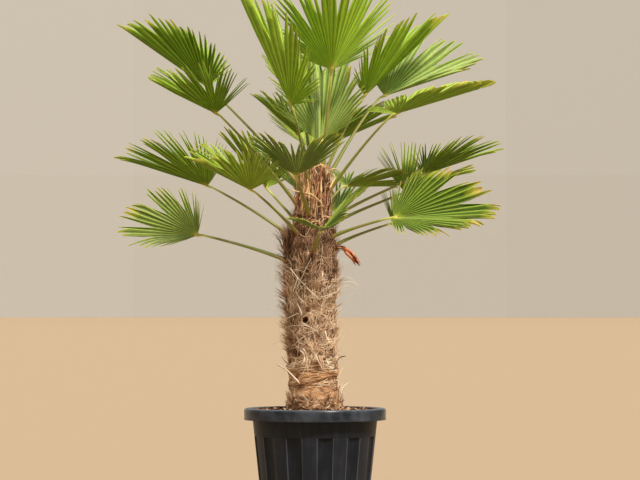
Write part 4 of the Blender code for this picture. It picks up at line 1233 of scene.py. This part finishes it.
    def mat(self, settings, material, wrap_material):
        """Locks of strands: rough at the foot, smooth round the wraps, tangled and then hanging."""
        draw = random.Random(21)
        strands, wraps = [], []
        for _ in range(settings.locks):
            bearing = draw.uniform(-math.pi, math.pi)
            at_foot = draw.random() < self.FOOT_SHARE
            height = draw.uniform(*self.FOOT) if at_foot else draw.uniform(self.ROUGH_TO, 0.98)
            wide = settings.strand_width * draw.uniform(0.7, 1.4)
            pale = draw.random() < self.PALE_SHARE
            count = 5
            if height < self.ROUGH_TO:
                heading, curl = draw.uniform(-2.0, 2.0), draw.gauss(0.0, 24.0)
                length = draw.uniform(0.024, 0.055)
                tone = draw.gauss(0.68 if pale else 0.24, 0.13)
                lift, flare = draw.uniform(0.0, 0.005), draw.uniform(0.001, 0.013)
                wide *= 0.8
            elif height < self.WRAPPED_TO:
                heading = draw.choice((1.0, -1.0)) * draw.gauss(1.45, 0.12)
                curl, length = draw.gauss(0.0, 2.0), draw.uniform(0.05, 0.12)
                tone, lift, flare = draw.gauss(0.60, 0.22), draw.uniform(0.0, 0.0035), 0.002
                count = 4
            elif height < self.TANGLED_TO:
                spread = 3.0 if height < 0.70 else 1.2
                heading = math.pi + draw.uniform(-spread, spread)
                curl, length = draw.gauss(0.0, 16.0), draw.uniform(0.05, 0.13)
                # The dark strands lie deeper than the pale ones: their tone is partly darker fibre and partly
                # painted shade between the pale strands.
                tone = draw.gauss(0.80 if pale else 0.20, 0.16)
                lift = draw.uniform(-0.004, 0.0) if pale else draw.uniform(-0.006, -0.002)
                flare = draw.uniform(-0.001, 0.004)
            else:
                heading = math.pi + draw.gauss(0.0, 0.25)
                curl, length = draw.gauss(0.0, 3.0), draw.uniform(0.08, 0.15)
                tone = draw.gauss(0.06, 0.22)
                lift, flare = draw.uniform(-0.005, 0.001), draw.uniform(-0.001, 0.006)
            part = wraps if height < self.WRAPPED_TO else strands
            for _ in range(count):
                start = (bearing + draw.gauss(0.0, 0.022), height + draw.gauss(0.0, 0.0018),
                         heading + draw.gauss(0.0, 0.10))
                line = wander(draw, 8, start, length * draw.uniform(0.8, 1.15), curl,
                              lift + draw.uniform(0.0, 0.001), flare, wobble=0.07)
                if self.clear_of_hollows(line):
                    part.append((line, wide * draw.uniform(0.7, 1.2), tone + draw.gauss(0.0, 0.09)))
        half = len(strands) // 2
        for name, part in (("fibre_mat_inner", strands[:half]), ("fibre_mat_outer", strands[half:])):
            self.lay(name, part, 3, material, (0.25, 0.6))
        self.lay("fibre_wraps", wraps, 3, wrap_material, (0.25, 0.6))

    def cloth(self, material):
        """Two bands of sheath cloth wrapped round the foot, each with a loose lower edge."""
        rings = []
        for top, low, swing, off in ((0.412, 0.371, 0.007, 0.0), (0.454, 0.424, 0.018, 0.0016)):
            ring = sheet_grid("wrap", self.WRAP_COLUMNS, self.WRAP_ROWS)
            u, v = corners(ring)
            angle = 2.0 * math.pi * u
            edge = low + swing * np.cos(angle) + 0.0030 * np.sin(3.0 * angle + 40.0 * low)
            height = edge + (top + 0.3 * swing * np.cos(angle) - edge) * v
            radius = trunk_radius(height) + boot_relief(angle, height) + off
            radius = radius + 0.0035 * (1.0 - v) ** 2 - 0.002 * v**3
            around = polar(radius, angle, height)
            radius = radius + 0.0012 * rough(around * (1.0, 1.0, 3.0), 0.020, 5)
            move_corners(ring, trunk_middle(height) + polar(radius, angle, 0.0))
            weld(ring)
            thick = ring.modifiers.new("Thickness", "SOLIDIFY")
            thick.thickness = 0.0012
            thick.offset = -1.0
            apply_modifiers(ring)
            rings.append(ring)
        finish_piece(join(rings, "sheath_cloth"), material, ["trunk"])

    def hairs(self, settings, material):
        """Loose hairs that lift off the mat: single, in brushes and in long curls."""
        draw = random.Random(22)
        strands = []
        while len(strands) < settings.hairs:
            height = draw.uniform(0.36, 1.00)
            bearing = draw.uniform(-math.pi, math.pi)
            heading = draw.gauss(0.0, 1.0) if height > 0.47 else draw.uniform(-math.pi, math.pi)
            flare = min(abs(draw.gauss(0.0, 0.015)) + 0.001, 0.050)
            if height < 0.465:
                flare *= 0.4
                if draw.random() < 0.7:
                    height = 0.362
            line = wander(draw, 9, (bearing, height, heading), draw.uniform(0.05, 0.13),
                          draw.gauss(0.0, 13.0), 0.0, flare, droop=draw.uniform(0.0, 0.012))
            if self.clear_of_hollows(line, 0.8):
                wide = draw.uniform(0.00035, 0.0007)
                strands.append((line, wide, draw.gauss(0.66 if height < DARK_FROM else 0.30, 0.20)))
        for i in range(settings.brushes):
            height = 0.47 + 0.47 * (i + 0.5) / settings.brushes
            bearing = math.radians(GOLDEN_TURN * i) + draw.gauss(0.0, 0.2)
            tone = 0.48 if height < DARK_FROM else 0.14
            start = bearing, height, draw.gauss(0.0, 0.7)
            self.brush(strands, draw, start, 14, draw.uniform(0.05, 0.075), draw.uniform(0.006, 0.024),
                       draw.gauss(tone, 0.15), 0.0006)
        for i in range(settings.loops):
            start = math.radians(GOLDEN_TURN * i), draw.uniform(0.50, 0.86), draw.gauss(0.2, 0.6)
            line = wander(draw, 9, start, draw.uniform(0.12, 0.19),
                          draw.choice((-1.0, 1.0)) * draw.uniform(8.0, 18.0), 0.0,
                          draw.uniform(0.03, 0.058), droop=draw.uniform(0.01, 0.04), wobble=0.04)
            strands.append((line, draw.uniform(0.0004, 0.0007), draw.gauss(0.85, 0.1)))
        self.lay("loose_hairs", strands, 3, material, (0.2, 0.4))

    def brush(self, strands, draw, start, count, length, flare, tone, wide):
        """A brush of hairs from one place, all with nearly the same way, spread and tone."""
        bearing, height, heading = start
        for _ in range(count):
            begin = (bearing + draw.gauss(0.0, 0.09), height + draw.gauss(0.0, 0.007),
                     heading + draw.gauss(0.0, 0.3))
            line = wander(draw, 9, begin, length * draw.uniform(0.75, 1.15), draw.gauss(0.0, 5.0), -0.001,
                          flare * draw.uniform(0.5, 1.25), droop=draw.uniform(0.0, 0.006), wobble=0.05)
            if self.clear_of_hollows(line, 0.8):
                strands.append((line, wide * draw.uniform(0.6, 1.3), tone + draw.gauss(0.0, 0.12)))

    def tufts(self, settings, material):
        """Thick tufts: those of the photo's outline first, then more all round."""
        draw = random.Random(25)
        strands = []
        for bearing, height, heading, length, flare, tone in self.TUFTS:
            start = math.radians(bearing), height, heading
            self.brush(strands, draw, start, 26, length, flare, tone, 0.0009)
        for i in range(settings.tufts):
            height = 0.50 + 0.37 * (i + 0.5) / settings.tufts
            tone = 0.42 if height < DARK_FROM else 0.10
            start = math.radians(GOLDEN_TURN * i + 60.0), height, draw.gauss(0.0, 0.4)
            self.brush(strands, draw, start, 20, draw.uniform(0.04, 0.07), draw.uniform(0.004, 0.016),
                       draw.gauss(tone, 0.12), 0.0008)
        self.lay("fibre_tufts", strands, 3, material, (0.2, 0.5))

    def ribbons(self, settings, material):
        """Flat pale strips, straight or curved, that lie over the tangle."""
        draw = random.Random(23)
        strands = []
        while len(strands) < settings.ribbons:
            height = draw.uniform(0.47, 0.74)
            curl = draw.gauss(0.0, 12.0 if height < 0.58 else 5.0)
            start = draw.uniform(-math.pi, math.pi), height, draw.uniform(-math.pi, math.pi)
            line = wander(draw, 12, start, draw.uniform(0.04, 0.12), curl, 0.0015,
                          draw.uniform(0.0, 0.010), wobble=0.05)
            if self.clear_of_hollows(line):
                strands.append((line, draw.uniform(0.0006, 0.0012), draw.uniform(0.75, 1.0)))
        for points, wide, tone in self.FRONT_STRIPS:
            places = over_front(points, 0.011)
            line = curve_through(places, (1.0,) * len(places), 12)[0]
            strands.append((line, wide, tone))
        self.lay("pale_ribbons", strands, 4, material, (0.4, 0.8), flat=0.35)

    def sheaths(self, settings, material):
        """Young sheath strips round the crown: broad and upright, with a reddish tangle at their foot."""
        draw = random.Random(24)
        strands = []
        for i in range(settings.sheaths):
            bearing = math.radians(GOLDEN_TURN * i) + draw.gauss(0.0, 0.10)
            low = draw.uniform(0.900, 0.980)
            length = draw.uniform(0.07, 0.125)
            heading = draw.gauss(0.0, 0.10)
            lift = draw.uniform(-0.002, 0.002)
            line = wander(draw, 10, (bearing, low, heading), length, draw.gauss(0.0, 0.8), lift,
                          draw.uniform(0.003, 0.015), wobble=0.03)
            # The darkest tone, 0.03, is painted shade in the gaps between the strips.
            tone = draw.choice((0.03, 0.16, 0.30, 0.40, 0.50, 0.60, 0.74, 0.92))
            strands.append((line, draw.uniform(0.0014, 0.0038), tone + draw.gauss(0.0, 0.04)))
        for i in range(settings.sheaths // 2):
            start = math.radians(GOLDEN_TURN * i), draw.uniform(0.875, 0.945), draw.uniform(-math.pi, math.pi)
            line = wander(draw, 10, start, draw.uniform(0.03, 0.07), draw.gauss(0.0, 25.0), 0.002,
                          draw.uniform(0.0, 0.014))
            strands.append((line, draw.uniform(0.0008, 0.0016), draw.gauss(0.54, 0.24)))
        for i in range(settings.sheaths // 4):
            start = math.radians(GOLDEN_TURN * i), draw.uniform(1.00, 1.045), draw.gauss(0.0, 0.6)
            line = wander(draw, 10, start, draw.uniform(0.04, 0.07),
                          draw.choice((-1.0, 1.0)) * draw.uniform(4.0, 22.0), 0.002,
                          draw.uniform(0.004, 0.020))
            strands.append((line, draw.uniform(0.0008, 0.0022), draw.gauss(0.50, 0.25)))
        for points, wide, tone in self.CROWN_STRIPS:
            line = curve_through(points, (1.0,) * len(points), 10)[0]
            strands.append((line, wide, tone))
        self.lay("young_sheaths", strands, 4, material, (0.30, 0.6), flat=0.2)

    def execute(self, context):
        settings = context.scene.palm_trunk
        fibre = fibre_material("palm_fibre", (
            (0.0, settings.dark), (0.32, settings.brown), (0.60, settings.fawn), (1.0, settings.straw)), 0.8)
        sheath = fibre_material("leaf_sheath", (
            (0.0, settings.dark), (0.30, settings.red), (0.65, settings.rose), (1.0, settings.cream)), 0.6)
        wrap = fibre_material("wrapped_fibre", (
            (0.0, settings.dark), (0.30, settings.cloth), (0.62, settings.orange),
            (1.0, settings.straw)), 0.8)
        self.mat(settings, fibre, wrap)
        self.cloth(cloth_material("sheath_cloth", settings.orange, settings.cloth, settings.dark))
        self.hairs(settings, fibre)
        self.tufts(settings, fibre)
        self.ribbons(settings, fibre)
        self.sheaths(settings, sheath)
        return {"FINISHED"}


# Fronds

Bunch = namedtuple("Bunch", "middle sag bend")


class PALM_OT_fronds(Operator):
    """Grow the fronds: each a pleated, split fan blade on its petiole"""
    bl_idname = "palm.fronds"
    bl_label = "Fronds"

    COLUMNS = 4
    JOINED_ROWS = 6
    ROWS = 15
    FIRST = 0.006
    CONE = math.radians(6.0)
    FOLD_EASE = math.radians(25.0)
    TAPER = 0.60
    CLOSED = math.radians(58.0)
    BUNCH_PULL = 0.30
    FALL_OFF = 1.2
    PETIOLE_SUNK = 0.012
    PETIOLE_RADII = (0.0070, 0.0046, 0.0034)
    PETIOLE_ARCH = 0.12
    HUB_NECK = 0.016
    # Past the neck: how far each ring of the hub stands out, and its half width and half height.
    HUB_RINGS = (0.006, 0.011, 0.016, 0.020, 0.024, 0.027, 0.029)
    HUB_WIDE = (0.0048, 0.0060, 0.0072, 0.0076, 0.0064, 0.0040, 0.0)
    HUB_HIGH = (0.0034, 0.0036, 0.0038, 0.0036, 0.0030, 0.0018, 0.0)
    TONES = ("bright", "mid", "deep", "grey", "shade", "sage")
    # Shares of the light green in its painted shaded copy, and of the rib colour in the ribs.
    PAINTED_SHADE_SHARE = 0.26
    RIB_SHARE = 0.65
    SLOTS = {"shade": "leaf_deep", "sage": "leaf_deep"}

    def blade_frame(self, frond):
        """The blade's axis, the way to its side and the way that its upper face looks."""
        rise, lean, roll = (math.radians(turn) for turn in (frond.rise, frond.lean, frond.roll))
        axis = np.array((math.cos(rise) * math.cos(lean), math.sin(lean), math.sin(rise) * math.cos(lean)))
        side = unit(np.cross(UP, axis))
        if side[1] > 0.0:
            side = -side
        upper = unit(UP - axis * axis[2])
        face = upper * math.cos(roll) + side * math.sin(roll)
        return axis, np.cross(axis, face), face

    def ray(self, frond, ways, angle):
        """The way from the hub along the fan, angle radians from the blade's axis."""
        axis, side, face = ways
        angle = np.asarray(angle)[..., None]
        fold = math.radians(frond.fold) * np.minimum(1.0, np.abs(angle) / self.FOLD_EASE)
        across = side * (np.sin(angle) * np.cos(fold)) + face * (np.abs(np.sin(angle)) * np.sin(fold))
        return unit(unit(axis * np.cos(angle) + across) + face * math.tan(self.CONE))

    def facing(self, frond, ways, angle):
        step = math.radians(2.0)
        turn = self.ray(frond, ways, angle + step) - self.ray(frond, ways, angle - step)
        look = unit(np.cross(self.ray(frond, ways, angle), turn))
        return look * np.sign(look @ ways[2])[..., None]

    def reach(self, frond, angle):
        near, far = frond.spread
        share = np.abs(angle) / np.radians(np.where(np.asarray(angle) > 0.0, far, near))
        return frond.length * (1.0 - frond.shorten * share**self.FALL_OFF)

    def segment(self, template, frond, ways, margins, splits, pleat, bunch, draw):
        """One segment: joined to its neighbours up to the split, then free to its forked tip."""
        piece = template.copy()
        piece.data = template.data.copy()
        bpy.context.scene.collection.objects.link(piece)
        u, v = corners(piece)
        hub = np.array(frond.hub)
        left, right = margins
        middle, pitch = (left + right) / 2.0, right - left
        slant = np.abs(2.0 * u - 1.0)
        joined = self.JOINED_ROWS / self.ROWS

        def joined_length(u, share):
            return self.FIRST + (splits[0] + (splits[1] - splits[0]) * u - self.FIRST) * share

        def joined_place(u, share):
            angle = left + u * pitch
            length = joined_length(u, share)
            rise = length * pitch / 2.0 * math.tan(pleat) * (np.abs(2.0 * u - 1.0) - 0.5)
            return (hub + self.ray(frond, ways, angle) * length[:, None]
                    + self.facing(frond, ways, angle) * rise[:, None])

        inner = np.minimum(v / joined, 1.0)
        places = joined_place(u, inner)
        free = np.clip((v - joined) / (1.0 - joined), 0.0, 1.0)
        root = joined_place(np.array((0.5,)), np.array((1.0,)))[0]
        offset = joined_place(u, np.ones_like(u)) - root
        along = self.ray(frond, ways, middle)
        look = self.facing(frond, ways, np.array(middle))
        beside = unit(np.cross(look, along))
        length = float(self.reach(frond, middle)) * draw.uniform(0.94, 1.03)
        start = (splits[0] + splits[1]) / 2.0
        towards = self.ray(frond, ways, bunch.middle) - along
        drift = towards * self.BUNCH_PULL * length + beside * draw.gauss(0.0, 0.005) * length
        sag = UP * (length - start) * (0.03 * abs(bunch.sag) + abs(draw.gauss(0.0, 0.02)))
        bend = look * (0.008 * bunch.bend + draw.gauss(0.0, 0.005)) * length
        narrow = (1.0 - self.TAPER * free) * (1.0 - 0.75 * free**10)
        closing = pleat + (self.CLOSED - pleat) * free
        spine = (root + along * ((length - start) * free)[:, None] + drift * free[:, None]
                 + (bend - sag) * (free**2)[:, None])
        notch = along * (-0.006 * (1.0 - slant) * free**8)[:, None]
        loose = (spine + notch
                 + beside * ((offset @ beside) * narrow * np.cos(closing) / math.cos(pleat))[:, None]
                 + look * ((offset @ look) * narrow * np.sin(closing) / math.sin(pleat))[:, None]
                 + along * ((offset @ along) * (1.0 - free))[:, None])
        places = np.where((v > joined + 1e-6)[:, None], loose, places)
        move_corners(piece, places)
        begun = joined_length(u, inner) / length
        mark(piece, "share", np.where(free > 0.0, begun + (1.0 - begun) * free, begun))
        # Each segment's tone varies at random about its frond's painted light.
        mark(piece, "tone", min(max(draw.gauss(frond.glow, 0.20), 0.0), 1.0))
        dry = max(0.0, draw.gauss(frond.dry, 0.10 + 0.3 * frond.dry))
        mark(piece, "dry", dry + (0.6 if draw.random() < 0.05 else 0.0))
        return piece

    def slot_of(self, frond):
        return self.SLOTS.get(frond.tone, "leaf_" + frond.tone)

    def blade(self, context, template, index, frond, material):
        settings = context.scene.palm_leaf
        draw = random.Random(100 + index)
        ways = self.blade_frame(frond)
        near, far = (math.radians(angle) for angle in frond.spread)
        count = round((near + far) / settings.pitch)
        margins = np.linspace(-near, far, count + 1)
        # Segments hang together in bunches, parted by deeper splits.
        parted, bunches, done = {0}, [], 0
        while done < count:
            size = min(max(1, round(frond.bunch * draw.uniform(0.4, 1.6))), count - done)
            bunches += [Bunch((margins[done] + margins[done + size]) / 2.0, draw.gauss(0.0, 1.0),
                              draw.gauss(0.0, 1.0))] * size
            done += size
            parted.add(done)
        splits = []
        for i, angle in enumerate(margins):
            share = abs(angle) / (far if angle > 0.0 else near)
            split = frond.split * (draw.uniform(0.78, 1.0) if i in parted else draw.uniform(1.12, 1.35))
            splits.append(float(self.reach(frond, angle)) * min(split, 0.93) * (1.0 - 0.50 * share**2))
        strips = [self.segment(template, frond, ways, margins[i:i + 2], splits[i:i + 2], settings.pleat,
                               bunches[i], draw) for i in range(count)]
        name = f"frond_{index + 1:02d}"
        piece = join(strips, name + "_blade")
        weld(piece)
        leaf = piece.modifiers.new("Thickness", "SOLIDIFY")
        leaf.thickness = settings.thickness
        leaf.offset = 0.0
        apply_modifiers(piece)
        finish_piece(piece, material, [name], 24.0)

    def petiole(self, index, frond, material):
        """A petiole: broad where it clasps the trunk, slim above, swollen into a yellow hub."""
        ways = self.blade_frame(frond)
        hub = np.array(frond.hub)
        middle = trunk_middle(frond.root)
        out = hub - middle
        out[2] = 0.0
        out = unit(out)
        start = middle + out * (trunk_radius(frond.root) - self.PETIOLE_SUNK)
        neck = hub - ways[0] * self.HUB_NECK
        span = np.linalg.norm(neck - start)
        direct = unit(neck - start)
        first = start + unit(direct + UP * self.PETIOLE_ARCH) * span * 0.35
        second = neck - unit(direct * 4.0 + ways[0]) * span * 0.3
        t = np.linspace(0.0, 1.0, 25)
        s = 1.0 - t
        line = (start * (s**3)[:, None] + first * (3 * s * s * t)[:, None]
                + second * (3 * s * t * t)[:, None] + neck * (t**3)[:, None])
        thick = np.interp(t, (0.0, 0.5, 1.0), self.PETIOLE_RADII)
        clasp = 1.0 + 1.1 * np.clip(1.0 - t / 0.12, 0.0, 1.0) ** 2
        wide, high = thick * 1.15 * clasp, thick * 0.85
        # The hub: past the neck the petiole broadens between the folds and ends in a blunt tongue.
        rings = np.array(self.HUB_RINGS)[:, None]
        hump = 0.0022 * np.sin(np.linspace(0.0, 2.2, len(rings)))
        line = np.concatenate((line, neck + ways[0] * rings + ways[2] * hump[:, None]))
        wide = np.concatenate((wide, self.HUB_WIDE))
        high = np.concatenate((high, self.HUB_HIGH))
        line = np.concatenate((line[:1], line))
        wide, high = np.concatenate(((0.0,), wide)), np.concatenate(((0.0,), high))
        along = unit(np.gradient(line[1:], axis=0))
        along = np.concatenate((along[:1], along))
        across = unit(np.cross(along, ways[2] * 0.5 + UP * 0.2 + 0.001))
        over = np.cross(across, along)
        name = f"frond_{index + 1:02d}"
        piece = roll_tube(name + "_petiole", 12, line, across, over, wide, high)
        finish_piece(piece, material, [name], 60.0)

    def execute(self, context):
        settings = context.scene.palm_leaf
        tones = {}
        for tone in self.TONES:
            light = tuple(getattr(settings, tone))
            rib = tuple(self.RIB_SHARE * a + (1.0 - self.RIB_SHARE) * b for a, b in zip(settings.rib, light))
            tones[tone] = leaf_material("palm_leaf_" + tone, light, darker(light, self.PAINTED_SHADE_SHARE), rib,
                                        settings.hub, settings.yellow, settings.dry)
        trunk = context.scene.palm_trunk
        stalk = petiole_material("palm_petiole", settings.stalk, settings.rib, trunk.cloth,
                                 settings.hub, trunk.red)
        template = sheet_grid("segment", self.COLUMNS, self.ROWS)
        for index, frond in enumerate(FRONDS):
            self.blade(context, template, index, frond, tones[frond.tone])
            self.petiole(index, frond, stalk)
        bpy.data.objects.remove(template)
        return {"FINISHED"}


class PALM_OT_spear(Operator):
    """Grow the unopened spear leaf, its pleats still folded together"""
    bl_idname = "palm.spear"
    bl_label = "Spear leaf"

    COLUMNS = 36
    FOLDS = 9
    FOLD_DEPTH = 0.18
    PAINTED_SHADE_SHARE = 0.45

    def execute(self, context):
        settings = context.scene.palm_leaf
        line, radii = curve_through(SPEAR_POINTS, SPEAR_RADII, 40)
        radii[0] = radii[-1] = 0.0
        across, over = frame_along(line, np.array((0.0, -1.0, 0.3)))
        share = np.linspace(0.0, 1.0, len(line))[:, None]
        turn = 2.0 * math.pi * np.arange(self.COLUMNS)[None] / self.COLUMNS
        sides = np.sign(np.sin(self.FOLDS * turn + 2.0 * share))
        size = radii[:, None] * (1.0 + self.FOLD_DEPTH * np.clip(share * 4.0 - 0.8, 0.0, 1.0) * sides)
        piece = roll_tube("spear_leaf_folds", self.COLUMNS, line, across, over, size, size)
        mark(piece, "tone", 0.35)
        mark(piece, "dry", 0.1)
        mark(piece, "share", 0.5)
        # The painted shaded copy of the grey green.
        dark = darker(settings.grey, self.PAINTED_SHADE_SHARE)
        leaf = leaf_material("folded_leaf", settings.grey, dark, settings.rib, settings.hub,
                             settings.yellow, settings.dry)
        finish_piece(piece, leaf, ["spear_leaf"], 30.0)
        return {"FINISHED"}


class PALM_OT_stalk(Operator):
    """Build the old flower stalk: a dry stem and its split, curled husk"""
    bl_idname = "palm.stalk"
    bl_label = "Old flower stalk"

    # The husk: narrow strips side by side round the stem's line. Tone of each strip.
    STRIP_TONES = (0.90, 0.30, 0.03, 0.62, 0.45, 0.02, 0.78, 0.38, 0.55, 0.03, 0.95, 0.42, 0.02, 0.50)
    HUSK_COLOURS = ((0.0, "#2b1610"), (0.35, "#a8552f"), (0.7, "#e08f5e"), (1.0, "#f4c49a"))
    STRIP_HALF = 0.0030
    HUSK_RADIUS = 0.0094
    ROWS = 18

    def execute(self, context):
        line, radii = curve_through(STALK_POINTS, STEM_RADII, 30)
        radii[0] = radii[-1] = 0.0
        across, over = frame_along(line, np.array((0.0, -0.3, 1.0)))
        parts = [roll_tube("stem", 10, line, across, over, radii, radii * 0.8)]
        mark(parts[0], "tone", 0.02)
        draw = random.Random(31)
        knots = np.linspace(0.0, 1.0, len(line))
        for i, tone in enumerate(self.STRIP_TONES):
            first, last = draw.uniform(0.14, 0.30), draw.uniform(0.74, 1.0)
            share = np.linspace(first, last, self.ROWS)
            rows = [np.stack([np.interp(share, knots, ways[:, axis]) for axis in range(3)], axis=-1)
                    for ways in (line, across, over)]
            turn = 2.0 * math.pi * i / len(self.STRIP_TONES)
            out = rows[1] * math.cos(turn) + rows[2] * math.sin(turn)
            swell = np.sin(math.pi * np.linspace(0.06, 0.86, self.ROWS)) ** 0.8
            stand = 0.7 if tone < 0.1 else draw.uniform(0.70, 1.15)
            kink = 0.0016 * np.sin(5.0 * math.pi * share + 2.0 * i)
            middle = rows[0] + out * (self.HUSK_RADIUS * stand * swell + kink)[:, None]
            broad = rows[2] * math.cos(turn) - rows[1] * math.sin(turn)
            size = self.STRIP_HALF * draw.uniform(0.8, 1.25)
            size = size * np.sin(math.pi * np.linspace(0.0, 1.0, self.ROWS)) ** 0.5
            parts.append(roll_tube(f"strip_{i}", 8, middle, broad, out, size, size * 0.45))
            mark(parts[-1], "tone", tone)
        husk = join(parts, "dry_husk")
        stops = [(place, linear(text)) for place, text in self.HUSK_COLOURS]
        finish_piece(husk, fibre_material("dry_flower_husk", stops, 0.6),
                     ["old_flower_stalk"], 45.0)
        return {"FINISHED"}


class PALM_PT_panel(Panel):
    """Lists the steps that build the palm"""
    bl_idname = "PALM_PT_panel"
    bl_label = "Potted windmill palm"
    bl_space_type = "VIEW_3D"
    bl_region_type = "UI"
    bl_category = "Palm"

    def draw(self, context):
        for step in STEPS:
            self.layout.operator(step.bl_idname)
        for group in GROUPS:
            settings = getattr(context.scene, group)
            box = self.layout.box()
            for name in settings.bl_rna.properties.keys():
                if name not in ("rna_type", "name"):
                    box.prop(settings, name)


STEPS = (PALM_OT_stage, PALM_OT_pot, PALM_OT_soil, PALM_OT_trunk, PALM_OT_fibre,
         PALM_OT_fronds, PALM_OT_spear, PALM_OT_stalk)
GROUPS = {
    "palm_stage": StageSettings,
    "palm_pot": PotSettings,
    "palm_soil": SoilSettings,
    "palm_trunk": TrunkSettings,
    "palm_leaf": LeafSettings,
}


def register():
    for group in GROUPS.values():
        bpy.utils.register_class(group)
    for step in STEPS:
        bpy.utils.register_class(step)
    bpy.utils.register_class(PALM_PT_panel)
    for name, group in GROUPS.items():
        setattr(bpy.types.Scene, name, PointerProperty(type=group))


def unregister():
    for name in GROUPS:
        delattr(bpy.types.Scene, name)
    bpy.utils.unregister_class(PALM_PT_panel)
    for step in reversed(STEPS):
        bpy.utils.unregister_class(step)
    for group in reversed(list(GROUPS.values())):
        bpy.utils.unregister_class(group)


def main():
    register()
    bpy.ops.palm.stage()
    bpy.ops.palm.pot()
    bpy.ops.palm.soil()
    bpy.ops.palm.trunk()
    bpy.ops.palm.fibre()
    bpy.ops.palm.fronds()
    bpy.ops.palm.spear()
    bpy.ops.palm.stalk()


if __name__ == "__main__":
    main()
